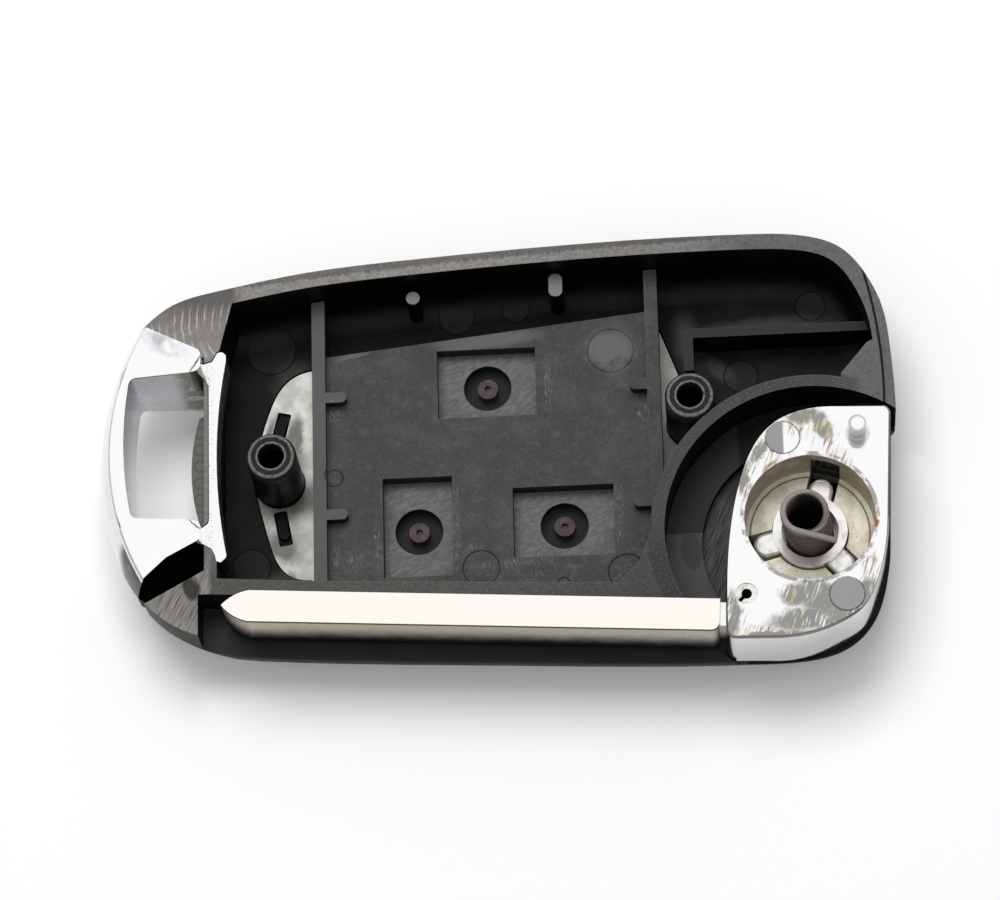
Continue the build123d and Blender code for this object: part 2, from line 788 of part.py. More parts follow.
def release_button():
    """Push button of the flip head: a round face, a hollow hub and three lugs."""
    face_top = release_sink + release_face
    face = post(pivot, release_radius, release_sink, face_top)
    face = fillet(face.faces().sort_by(Axis.Z)[0].edges(), release_edge)
    hub = post(pivot, hub_radius, face_top, hub_top)
    button = face + hub + release_lugs()
    under = post(pivot, lug_reach + 1, face_top, lug_bottom) - post(pivot, hub_radius, 0, hub_top)
    return button - under - post(pivot, hub_bore, hub_seat, hub_top + 1)


def flip_spring():
    """Close-wound spring standing in the hub, leaning to the ring side, with one straight tail."""
    path = Helix(spring_pitch, spring_pitch * spring_turns, spring_radius)
    section = Plane(origin=path @ 0, z_dir=path % 0) * Circle(spring_wire / 2)
    coil = sweep(section, path=path)
    tail = Plane(origin=path @ 1, z_dir=path % 1) * Circle(spring_wire / 2)
    coil += extrude(tail, spring_tail)
    tilt = spring_radius * math.sin(math.radians(spring_lean))
    base = hub_seat + spring_wire / 2 + tilt + seat_gap
    lean = Location((pivot[0] + spring_shift, pivot[1], base), (0, -spring_lean, 0))
    return coil.moved(lean * Location((0, 0, 0), (0, 0, tail_angle)))


def main():
    os.makedirs("parts", exist_ok=True)
    pieces = {
        "front_housing": front_housing(),
        "keyring_bow": keyring_bow(),
        "backing_plate": backing_plate(),
        "button_carrier": button_carrier(),
        "flip_head": flip_head(),
        "key_blade": key_blade(),
        "blade_roll_pin": blade_roll_pin(),
        "release_button": release_button(),
        "flip_spring": flip_spring(),
    }
    for name, spec in buttons.items():
        pieces[f"{name}_button"] = button_cap(spec)
        pieces[f"{name}_plunger"] = button_stem(spec)
    for name, piece in pieces.items():
        export_step(piece, f"parts/{name}.step")


main()
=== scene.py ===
"""Looks of an open flip key remote shell, laid on a white table."""
import math

import bmesh
import bpy
from bpy.props import FloatProperty, FloatVectorProperty, PointerProperty
from mathutils import Matrix, Vector


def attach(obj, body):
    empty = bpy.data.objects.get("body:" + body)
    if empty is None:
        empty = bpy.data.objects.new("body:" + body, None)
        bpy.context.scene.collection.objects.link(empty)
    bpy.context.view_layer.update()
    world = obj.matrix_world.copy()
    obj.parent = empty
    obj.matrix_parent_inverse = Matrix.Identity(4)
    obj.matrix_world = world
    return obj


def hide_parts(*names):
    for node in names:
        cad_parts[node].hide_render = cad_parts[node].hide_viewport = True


bl_info = {
    "name": "Flip key shell looks",
    "version": (1, 0, 0),
    "blender": (4, 5, 0),
    "location": "3D View > Sidebar > Flip Key",
    "description": "Finishes for the open half of a folding key's remote shell",
    "category": "Object",
}

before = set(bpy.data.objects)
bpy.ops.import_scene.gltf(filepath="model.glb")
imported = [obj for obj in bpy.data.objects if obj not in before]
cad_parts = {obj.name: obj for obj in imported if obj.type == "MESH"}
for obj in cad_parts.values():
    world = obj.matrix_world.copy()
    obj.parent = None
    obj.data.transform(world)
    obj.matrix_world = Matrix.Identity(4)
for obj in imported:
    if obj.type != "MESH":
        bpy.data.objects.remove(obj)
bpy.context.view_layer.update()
MM = 0.001

# Places in millimetres, in the part's own frame
PIVOT = (30.0, -9.225)
HEAD_TOP = 12.25
RIM_TOP = 9.75
BOW_TOP = 12.0
CARRIER_TOP = 4.8
HUB_SEAT = 3.0
WALL_PEG_TOP = 7.0
BLADE_TOP = 12.0
BOSS_TOP = 10.0
PLATE_TOP = 1.8
CARRIER_RIB_TOP = 6.0
RECESS_FLOOR = 3.2
# Head's pocket, and the well and bay that the head turns in
POCKET_FLOOR = 7.3
POCKET_RADIUS = 6.25
WELL_FLOOR = 3.4
WELL_RADIUS = 10.45
BAY_FLOOR = 4.4
BAY_SIDES = (14.0, 23.5)
BAY_WALL = (13.4, 15.7)
# Heights between which the shell's ribs and end walls have their tops
RIB_TOPS = (5.0, 9.3)
# Line along the middle of the far rim: the arc's centre and its radius
RIM_LINE = (41.5, -677.15, 698.3)
# Round ejector marks: x, y and radius
FLOOR_MARKS = ((-3.95, 16.9, 1.8), (1.96, 17.5, 1.4), (-24.6, -8.43, 1.9), (24.0, 9.3, 1.7),
               (-22.5, 14.2, 2.45), (31.15, 16.4, 1.5))
BAY_MARKS = ((18.35, -13.04, 1.05), (18.43, -8.5, 1.1))
CARRIER_MARKS = ((-1.92, -10.42, 1.8), (12.21, -11.42, 1.8), (6.08, -12.35, 0.6), (11.3, 11.6, 2.28),
                 (-16.1, -0.5, 0.85))
HEAD_MARKS = ((27.75, -1.1, 1.65), (33.17, -17.1, 1.68))
# Screw bosses: their centres, and the radii of the two rings rubbed on their tops
BOSSES = ((-21.8, 0.2), (19.0, 4.6))
BOSS_RINGS = (2.1, 1.4)
BOSS_REACH = 2.5
# Head's peg, and the centre of the painted shade round its foot
HEAD_PEG = (34.94, -0.83)
PEG_SHADE_CENTRE = (34.94, -1.0)
POCKET_LINE = 5.75
# Cutters of the mould, as the centres of their arcs, and the seam of the head corner as an arc
RING_CUTTER = (-22.0, 14.6)
HEAD_CUTTER = (29.8, -6.5)
HEAD_SEAM = (-12.0, 5.0, 49.76)
# Patches: centre x and y, half length, half width and turn in degrees
# Patches of painted highlight on the shell's low floor
SHELL_PAINTED_SHEEN = ((19.2, 12.4, 1.3, 3.2, 12.0), (21.6, 10.3, 2.2, 0.8, -38.0), (26.0, 14.2, 6.5, 1.0, 3.0),
               (-21.0, -10.5, 3.0, 1.5, 10.0), (-20.0, 10.0, 2.0, 2.5, 0.0))
BAY_SLOT = ((18.5, -9.5, 0.95, 2.0, 5.0),)
CARRIER_PALE = ((-14.3, 12.2, 1.7, 0.3, 14.0), (-1.0, 13.3, 5.0, 0.8, 4.0), (-3.0, 12.9, 2.6, 0.6, 6.0))
CARRIER_SCUFFS = ((-16.0, 6.4, 0.5, 0.9, 0.0), (14.3, 4.7, 0.5, 1.4, 0.0), (-14.2, -9.4, 1.0, 0.8, 20.0),
                  (-12.0, -7.9, 0.4, 2.6, 0.0), (-16.0, -8.9, 0.5, 1.1, 0.0), (-4.3, -6.0, 0.35, 4.4, 0.0),
                  (9.2, 12.1, 0.4, 0.6, 0.0), (5.0, 7.8, 0.4, 3.2, 0.0), (11.6, -5.6, 0.4, 3.2, 0.0),
                  (1.4, -10.0, 4.5, 0.4, 3.0), (-2.8, -8.3, 0.5, 0.4, 0.0))
# Painted shadow on the backing plate, round the boss and slots
PLATE_PAINTED_SHADOWS = ((-21.8, -1.4, 4.4, 1.9, 0.0), (-23.0, 5.0, 0.4, 2.4, -20.0), (-20.0, 5.0, 0.5, 2.2, 0.0),
                 (-21.6, -6.5, 2.0, 1.2, -30.0), (-21.4, 2.2, 1.9, 1.9, 0.0), (-20.6, -10.2, 0.5, 1.1, 10.0),
                 (-20.6, 5.2, 0.6, 1.5, -15.0))
BOW_CLOUDS = ((-31.9, 11.6, 1.9, 0.9, -28.0), (-33.0, 12.2, 0.8, 0.8, 0.0))
BOW_CRACKS = ((-28.9, 9.4, 1.1, 0.09, 58.0), (-28.9, -7.3, 1.0, 0.08, -44.0), (-26.9, -10.2, 0.9, 0.1, -55.0),
              (-27.3, -9.6, 0.3, 0.2, 0.0), (-27.1, 3.3, 1.0, 0.07, 60.0), (-27.75, -2.0, 2.6, 0.05, 90.0),
              (-27.3, 6.4, 1.4, 0.05, 78.0), (-26.8, 9.2, 0.7, 0.06, 20.0))
HEAD_GREY = ((29.8, 1.0, 1.6, 0.8, 10.0), (25.4, -2.4, 0.6, 1.3, -30.0), (24.0, -4.9, 0.4, 1.7, -15.0),
             (22.15, -18.7, 0.8, 2.4, 0.0), (30.5, -17.2, 2.6, 1.6, -15.0), (29.4, -19.4, 3.6, 1.1, 5.0),
             (32.4, -19.2, 2.4, 1.1, 15.0), (34.6, -17.4, 1.3, 1.9, -35.0), (28.2, -17.0, 1.4, 1.1, 0.0),
             (31.6, 0.0, 0.8, 1.6, 20.0), (25.6, -20.9, 3.6, 0.4, 3.0))
HEAD_BROWN = ((29.9, 0.4, 1.9, 1.6, 0.0), (31.7, -1.0, 1.3, 2.1, 20.0), (33.4, -3.6, 0.8, 1.2, 20.0),
              (25.6, -3.4, 1.5, 2.0, -20.0), (23.9, -5.6, 0.7, 2.0, -10.0), (35.6, -14.6, 0.9, 2.4, 12.0),
              (28.4, -17.6, 0.9, 2.2, 0.0), (26.0, -20.4, 3.2, 0.75, 3.0), (22.9, -19.2, 0.6, 1.6, 0.0))
# Round marks in a row down the bulge of the ring window: first centre, step, radius and how many
BULGE_MARKS = (-29.2, 4.4, 1.75, 0.55, 6)
# Stage: the table's own glow to the camera, the soft box and the camera's focus in pixels
TABLE_GLOW = 0.12
SOFT_BOX = {"place": (-60, 190, 495), "target": (0, 0, 0), "wide": 320, "tall": 230, "power": 1.9}
CAMERA_PLACE = (24.78, -157.48, 435.55)
FOCUS_PIXELS = 4700
IMAGE_WIDTH = 1000
SENSOR_WIDTH = 36.0


def about_z(degrees):
    """Turn about Z for a node's rotation."""
    return 0, 0, math.radians(degrees)


def linear(hex_colour):
    """Turns an sRGB hex colour such as 8a8a88 into linear red, green, blue and alpha."""
    values = [int(hex_colour[i:i + 2], 16) / 255 for i in (0, 2, 4)]
    return (*[v / 12.92 if v <= 0.04045 else ((v + 0.055) / 1.055) ** 2.4 for v in values], 1.0)


# Each node in use, by a plain word: Blender's kind, its options, the sockets that values fill in
# turn, and the output that is handed on
NODES = {
    "output": ("ShaderNodeOutputMaterial", {}, (0,), None),
    "surface": ("ShaderNodeBsdfPrincipled", {}, ("Metallic", "Specular IOR Level"), None),
    "matt": ("ShaderNodeBsdfDiffuse", {}, (0,), 0),
    "glow": ("ShaderNodeEmission", {}, (0, 1), 0),
    "either": ("ShaderNodeMixShader", {}, (0, 1, 2), 0),
    "world": ("ShaderNodeOutputWorld", {}, (0,), None),
    "sky": ("ShaderNodeBackground", {}, (0, 1), 0),
    "ray": ("ShaderNodeLightPath", {}, (), None),
    "own place": ("ShaderNodeTexCoord", {}, (), "Object"),
    "sky place": ("ShaderNodeTexCoord", {}, (), "Generated"),
    "facing": ("ShaderNodeNewGeometry", {}, (), "Normal"),
    "rounded": ("ShaderNodeBevel", {"samples": 4}, (0,), 0),
    "noise": ("ShaderNodeTexNoise", {}, (0, 2, 3, 4), None),
    "bump": ("ShaderNodeBump", {}, ("Height", "Distance", "Normal"), 0),
    "mix": ("ShaderNodeMix", {"data_type": "RGBA"}, (0, 6, 7), 2),
    "choose": ("ShaderNodeMix", {"data_type": "FLOAT"}, (0, 2, 3), 0),
    "step": ("ShaderNodeMapRange", {"interpolation_type": "SMOOTHSTEP"}, (0, 1, 2, 3, 4), 0),
    "times": ("ShaderNodeMath", {"operation": "MULTIPLY"}, (0, 1), 0),
    "over": ("ShaderNodeMath", {"operation": "DIVIDE"}, (0, 1), 0),
    "plus": ("ShaderNodeMath", {"operation": "ADD"}, (0, 1), 0),
    "minus": ("ShaderNodeMath", {"operation": "SUBTRACT"}, (0, 1), 0),
    "most": ("ShaderNodeMath", {"operation": "MAXIMUM"}, (0, 1), 0),
    "fraction": ("ShaderNodeMath", {"operation": "FRACT"}, (0,), 0),
    "unsigned": ("ShaderNodeMath", {"operation": "ABSOLUTE"}, (0,), 0),
    "parts": ("ShaderNodeSeparateXYZ", {}, (0,), None),
    "turn": ("ShaderNodeMapping", {}, (0, 2), 0),
    "shrink": ("ShaderNodeMapping", {}, (0, 3), 0),
    "enlarge": ("ShaderNodeVectorMath", {"operation": "SCALE"}, (0, "Scale"), 0),
    "shift": ("ShaderNodeVectorMath", {"operation": "ADD"}, (0, 1), 0),
    "from": ("ShaderNodeVectorMath", {"operation": "SUBTRACT"}, (0, 1), 0),
    "each times": ("ShaderNodeVectorMath", {"operation": "MULTIPLY"}, (0, 1), 0),
    "distance": ("ShaderNodeVectorMath", {"operation": "DISTANCE"}, (0, 1), 1),
    "length": ("ShaderNodeVectorMath", {"operation": "LENGTH"}, (0,), 1),
    "along": ("ShaderNodeVectorMath", {"operation": "DOT_PRODUCT"}, (0, 1), 1),
}


def add(tree, word, *values):
    """Adds a node and fills its sockets with values or links. Values beyond them take more nodes."""
    kind, options, sockets, handed_on = NODES[word]
    if len(values) > len(sockets):
        values = (add(tree, word, *values[:-1]), values[-1])
    node = tree.nodes.new(kind)
    for name, option in options.items():
        setattr(node, name, option)
    for name, value in zip(sockets, values):
        if isinstance(value, bpy.types.NodeSocket):
            tree.links.new(value, node.inputs[name])
        else:
            node.inputs[name].default_value = value
    return node if handed_on is None else node.outputs[handed_on]


def start_material(name, metallic=0.0, specular=0.5):
    """A new node material with its shader, and the part's own coordinates in millimetres."""
    material = bpy.data.materials.new(name)
    material.use_nodes = True
    tree = material.node_tree
    tree.nodes.clear()
    shader = add(tree, "surface", metallic, specular)
    add(tree, "output", shader.outputs[0])
    return material, tree, shader, add(tree, "enlarge", add(tree, "own place"), 1 / MM)


def join(tree, shader, **values):
    """Links or sets the shader's sockets by name."""
    for name, value in values.items():
        socket = shader.inputs[name.replace("_", " ")]
        if isinstance(value, bpy.types.NodeSocket):
            tree.links.new(value, socket)
        else:
            socket.default_value = value


def mottle(tree, place, size, detail=3.0, rough=0.55, stretch=(1, 1, 1)):
    """Mottle whose grains are about size millimetres across, from none to one."""
    spot = add(tree, "shrink", place, tuple(1 / (size * s) for s in stretch))
    return add(tree, "noise", spot, 1.0, detail, rough).outputs[0]


def coat(tree, base, colour, *shares):
    """Lays a colour over the base, by all the shares multiplied together."""
    share = add(tree, "times", *shares) if len(shares) > 1 else shares[0]
    return add(tree, "mix", share, base, linear(colour) if isinstance(colour, str) else colour)


def upward(tree):
    """One on faces that look up, nought on walls."""
    height = add(tree, "parts", add(tree, "facing")).outputs[2]
    return add(tree, "step", height, 0.75, 0.95, 0.0, 1.0)


def edges(tree, radius):
    """One near a sharp edge, within radius millimetres of it, and the rounded normal there."""
    rounded = add(tree, "rounded", radius * MM)
    return add(tree, "step", add(tree, "along", rounded, add(tree, "facing")), 0.985, 0.9), rounded


def between(tree, value, low, high, soft):
    """One between two values, with soft ends."""
    return add(tree, "times", add(tree, "step", value, low - soft, low + soft),
               add(tree, "step", value, high + soft, high - soft))


def flat_distance(tree, place, centre):
    """Plan distance from a centre, in millimetres."""
    return add(tree, "distance", add(tree, "each times", place, (1, 1, 0)), (centre[0], centre[1], 0))


def oval(tree, place, centre, half, degrees=0.0, soft=0.35):
    """One inside a turned oval patch, fading at its border."""
    spot = add(tree, "turn", add(tree, "from", place, (*centre, 0)), about_z(-degrees))
    reach = add(tree, "length", add(tree, "each times", spot, (1 / half[0], 1 / half[1], 0)))
    return add(tree, "step", reach, 1 + soft, 1 - soft)


def ovals(tree, place, patches, soft=0.35):
    """One inside any of the oval patches, each given as centre x and y, half sizes and turn."""
    total = 0.0
    for x, y, half_x, half_y, degrees in patches:
        total = add(tree, "most", oval(tree, place, (x, y), (half_x, half_y), degrees, soft), total)
    return total


def frayed(tree, place, size, reach):
    """The place pushed about by noise, so that a patch's border frays."""
    spot = add(tree, "shrink", place, (1 / size, 1 / size, 1 / size))
    push = add(tree, "from", add(tree, "noise", spot, 1.0, 3.0, 0.6).outputs[1], (0.5, 0.5, 0.5))
    return add(tree, "shift", place, add(tree, "enlarge", push, reach))


def round_marks(tree, place, marks, line=0.1):
    """Round ejector marks: one inside each circle, and one on each circle's thin line."""
    inside, ring = 0.0, 0.0
    for x, y, radius in marks:
        away = flat_distance(tree, place, (x, y))
        inside = add(tree, "most", add(tree, "step", away, radius, radius - line), inside)
        off = add(tree, "unsigned", add(tree, "minus", away, radius))
        ring = add(tree, "most", add(tree, "step", off, line, line / 3), ring)
    return inside, ring


def cutter_lines(tree, place, centre, spacing, width):
    """Thin arcs about a centre, spacing millimetres apart, as a cutter leaves in the mould."""
    step = add(tree, "fraction", add(tree, "over", flat_distance(tree, place, centre), spacing))
    off = add(tree, "unsigned", add(tree, "minus", step, 0.5))
    return add(tree, "step", off, width / spacing, 0.25 * width / spacing)


def head_bay(tree, place, base, up, cloud):
    """Bay of the head: its floor is rubbed paler, and its well has slanting cutter lines."""
    x, y, z = add(tree, "parts", place).outputs
    bay = add(tree, "times", up, between(tree, z, WELL_FLOOR - 0.2, BAY_FLOOR + 0.2, 0.1),
              between(tree, x, *BAY_SIDES, 0.3))
    away = flat_distance(tree, place, PIVOT)
    low_bay = add(tree, "times", bay, add(tree, "step", y, -7.6, -7.75),
                  add(tree, "step", away, WELL_RADIUS - 0.05, WELL_RADIUS + 0.05))
    base = coat(tree, base, "333333", bay, 0.7)
    base = coat(tree, base, "4a4948", low_bay, add(tree, "step", cloud, 0.2, 0.5, 0.5, 1.0))
    slot = add(tree, "times", low_bay, ovals(tree, place, BAY_SLOT, 0.1))
    base = coat(tree, base, "353535", slot, 0.7)
    slant = mottle(tree, add(tree, "turn", place, about_z(-66.0)), 0.13, 2.0, 0.5, (22, 1, 1))
    well = add(tree, "times", up, between(tree, z, WELL_FLOOR - 0.1, WELL_FLOOR + 0.2, 0.1),
               add(tree, "step", y, -1.0, -6.0))
    return coat(tree, base, "5e5d5c", well, add(tree, "step", slant, 0.36, 0.62), 0.6)


def ground_rim(tree, place, look, grain, fleck, worn):
    """Colour of the ground rim: pale at the ring end, darker at the head end, two tones on the far side."""
    x, y = add(tree, "parts", place).outputs[:2]
    ground = add(tree, "mix", add(tree, "step", x, -2.0, 18.0), look.rim, look.rim_dark)
    rim_line = add(tree, "minus", flat_distance(tree, place, RIM_LINE[:2]), RIM_LINE[2])
    rim_line = add(tree, "plus", rim_line, add(tree, "step", grain, 0.3, 0.7, -0.12, 0.12))
    far_rim = add(tree, "times", add(tree, "step", y, 12.0, 15.0), add(tree, "step", x, -25.5, -23.5),
                  add(tree, "step", x, 26.0, 18.0))
    ground = coat(tree, ground, "5a5856", add(tree, "step", rim_line, 0.0, 0.12), far_rim, 0.6)
    ground = coat(tree, ground, "a19d98", add(tree, "step", rim_line, 0.0, -0.12), far_rim, 0.35)
    ground = coat(tree, ground, "2a2a2a", add(tree, "step", y, -8.0, -12.0), 0.65)
    ground = coat(tree, ground, "161616", add(tree, "step", y, -15.5, -16.5),
                  add(tree, "step", x, -26.0, -24.0), 0.85)
    bay_wall = between(tree, flat_distance(tree, place, PIVOT), *BAY_WALL, 0.15)
    ground = coat(tree, ground, "333333", bay_wall, add(tree, "step", x, 36.0, 34.5), 0.7)
    ground = coat(tree, ground, "393837", add(tree, "step", grain, 0.42, 0.62), 0.4)
    ground = coat(tree, ground, "a09d99", add(tree, "step", fleck, 0.58, 0.7), 0.45)
    # Pale edges: partly wear, partly a painted highlight
    return coat(tree, ground, "8f8d8a", worn, 0.35)


def ring_corner_cuts(tree, place, base, rim, grain):
    """Far corner at the ring: a fan of cutter arcs. Gives the colour and the arcs' height."""
    x, y = add(tree, "parts", place).outputs[:2]
    corner = add(tree, "times", rim, add(tree, "step", x, -25.0, -25.6), add(tree, "step", y, 9.0, 9.6))
    slow = mottle(tree, place, 2.4, 2.0)
    swept = frayed(tree, place, 1.6, 0.5)
    fan = add(tree, "most", cutter_lines(tree, swept, RING_CUTTER, 0.74, 0.16),
              add(tree, "times", cutter_lines(tree, swept, RING_CUTTER, 0.23, 0.07), 0.4))
    fan = add(tree, "times", fan, add(tree, "step", slow, 0.38, 0.58), add(tree, "step", y, 17.2, 14.5))
    slope = add(tree, "step", add(tree, "plus", y, add(tree, "times", slow, 4.0)), 19.0, 15.0)
    milled = add(tree, "mix", slope, linear("5f5d5b"), linear("85817d"))
    milled = coat(tree, milled, "514f4c", add(tree, "step", grain, 0.42, 0.66), 0.35)
    milled = coat(tree, milled, "bab6b0", fan, 0.7)
    return coat(tree, base, milled, corner), add(tree, "times", fan, corner)


def near_corner_cuts(tree, place, base, rim, ruffled):
    """Near corner at the ring: straight hatching. Gives the colour and the hatching's height."""
    x, y = add(tree, "parts", place).outputs[:2]
    corner = add(tree, "times", rim, add(tree, "step", x, -27.5, -28.2), add(tree, "step", y, -9.0, -9.6))
    hatch = mottle(tree, add(tree, "turn", place, about_z(-62.0)), 0.13, 3.0, 0.6, (20, 1, 1))
    scored = add(tree, "mix", add(tree, "step", hatch, 0.3, 0.62), linear("504f4c"), linear("8f8c86"))
    shade = oval(tree, ruffled, (-29.6, -12.9), (0.8, 1.3), 20.0, 0.3)
    scored = coat(tree, scored, "1f1e1d", shade, 0.85)
    return coat(tree, base, scored, corner), add(tree, "times", hatch, corner)


def head_corner_cuts(tree, place, base, rim):
    """Far corner at the head: fine arcs and the end block's seam. Gives the colour and the seam."""
    x = add(tree, "parts", place).outputs[0]
    corner = add(tree, "times", rim, oval(tree, place, (36.0, 6.0), (3.2, 3.6), 0.0, 0.15))
    base = coat(tree, base, "5e5d5b", corner, cutter_lines(tree, place, HEAD_CUTTER, 0.3, 0.1), 0.7)
    from_seam = add(tree, "minus", flat_distance(tree, place, HEAD_SEAM[:2]), HEAD_SEAM[2])
    seam = add(tree, "times", rim, add(tree, "step", x, 35.5, 36.5),
               add(tree, "step", add(tree, "unsigned", from_seam), 0.16, 0.05))
    return coat(tree, base, "121212", seam), seam


def boss_tops(tree, place, base, grain, fleck):
    """Screw bosses: dark tops, each with two thin rubbed rings."""
    z = add(tree, "parts", place).outputs[2]
    near = [add(tree, "step", flat_distance(tree, place, spot), BOSS_REACH + 0.1, BOSS_REACH)
            for spot in BOSSES]
    boss = add(tree, "times", add(tree, "step", z, BOSS_TOP - 1.6, BOSS_TOP - 1.1), add(tree, "most", *near))
    near_round = frayed(tree, place, 0.5, 0.14)
    outer, inner = [[(*spot, radius) for spot in BOSSES] for radius in BOSS_RINGS]
    turning = add(tree, "most", round_marks(tree, near_round, outer, 0.2)[1],
                  round_marks(tree, near_round, inner, 0.13)[1])
    rubbed = add(tree, "most", add(tree, "times", turning, add(tree, "step", grain, 0.25, 0.55)),
                 add(tree, "step", fleck, 0.66, 0.74))
    return coat(tree, base, coat(tree, linear("212121"), "858483", rubbed, 0.75), boss)


def window_bulge(tree, place, base):
    """Bulge in the ring window: a mid grey with a row of faint round marks."""
    x, y, z = add(tree, "parts", place).outputs
    bulge = add(tree, "times", add(tree, "step", x, -28.2, -28.4), between(tree, z, 3.0, 6.2, 0.2),
                between(tree, y, -6.0, 6.6, 0.2))
    mark_x, mark_y, mark_step, mark_radius, mark_count = BULGE_MARKS
    marks = [(mark_x, mark_y - mark_step * i, mark_radius) for i in range(mark_count)]
    rings = round_marks(tree, place, marks, 0.14)[1]
    return coat(tree, base, coat(tree, linear("6c6c69"), "484846", rings, 0.5), bulge)


def moulded_abs_shell(look):
    """Black ABS, injection moulded: dark and satin, with a paler ground rim and cutter lines."""
    material, tree, shader, place = start_material("moulded_abs_shell", specular=0.13)
    up = upward(tree)
    x, y, z = add(tree, "parts", place).outputs
    grain = mottle(tree, place, look.grain / MM, 4.0, 0.7)
    fleck = mottle(tree, place, 0.5 * look.grain / MM, 2.0, 0.6)
    cloud = mottle(tree, place, 4.0, 4.0)
    ruffled = frayed(tree, place, 1.2, 0.9)
    # The edge mask carries pale colour that is partly edge wear and partly a painted highlight on the edges
    worn, rounded = edges(tree, 0.14)

    # Painted shade: walls and the foot of the far wall are painted darkest. Painted highlight: some places of
    # the low floor are painted paler, as sheen
    base = add(tree, "mix", add(tree, "step", cloud, 0.35, 0.75), look.shell, look.shell_lit)
    base = coat(tree, base, "030303", add(tree, "minus", 1.0, up), 0.75)
    far_wall_foot_painted_shade = add(tree, "times", add(tree, "step", y, 12.0, 14.5), add(tree, "step", z, 9.3, 8.0))
    far_wall_foot_painted_shade = add(tree, "times", far_wall_foot_painted_shade, add(tree, "step", x, 24.0, 20.0, 0.3, 1.0))
    base = coat(tree, base, "030303", far_wall_foot_painted_shade, 0.8)
    deep = add(tree, "minus", 1.0, add(tree, "step", z, 2.2, 5.0))
    painted_sheen = add(tree, "times", up, deep, ovals(tree, ruffled, SHELL_PAINTED_SHEEN, 0.6))
    base = coat(tree, base, "474544", painted_sheen, 0.7)
    base = head_bay(tree, place, base, up, cloud)

    rim = add(tree, "times", up, between(tree, z, RIM_TOP - 0.1, RIM_TOP + 0.1, 0.03))
    base = coat(tree, base, ground_rim(tree, place, look, grain, fleck, worn), rim)
    ribs = add(tree, "times", up, between(tree, z, *RIB_TOPS, 0.2))
    base = coat(tree, base, "3d3d3d", ribs, 0.6)
    base = coat(tree, base, "6a6968", ribs, worn, 0.5)
    wall_pegs = add(tree, "times", up, between(tree, z, WALL_PEG_TOP - 0.1, WALL_PEG_TOP + 0.1, 0.05),
                    between(tree, x, -10.0, 9.0, 0.5))
    base = coat(tree, base, "7c7b7a", wall_pegs)
    base, fan = ring_corner_cuts(tree, place, base, rim, grain)
    base, hatch = near_corner_cuts(tree, place, base, rim, ruffled)
    base, seam = head_corner_cuts(tree, place, base, rim)
    base = boss_tops(tree, place, base, grain, fleck)

    speck = add(tree, "times", up, add(tree, "step", fleck, 0.71, 0.76), add(tree, "step", cloud, 0.45, 0.65))
    base = coat(tree, base, "8b8a88", speck, 0.4)
    inside, ring = round_marks(tree, place, FLOOR_MARKS + BAY_MARKS)
    low = add(tree, "times", up, deep)
    # Painted shade: a dark line round each low ejector mark stands for the shadow of its small step
    base = coat(tree, base, "050505", ring, low, 0.7)
    base = coat(tree, base, "2e2e2e", inside, low, 0.3)
    base = window_bulge(tree, place, base)

    rough = add(tree, "step", cloud, 0.3, 0.7, 0.36, 0.5)
    rough = add(tree, "plus", rough, add(tree, "times", rim, 0.2))
    normal = add(tree, "bump", grain, 0.02 * MM, rounded)
    normal = add(tree, "bump", hatch, 0.03 * MM, normal)
    normal = add(tree, "bump", add(tree, "minus", fan, add(tree, "times", seam, 2.0)), 0.05 * MM, normal)
    normal = add(tree, "bump", add(tree, "times", inside, low), -0.1 * MM, normal)
    join(tree, shader, Base_Color=base, Roughness=rough, Normal=normal)
    return material


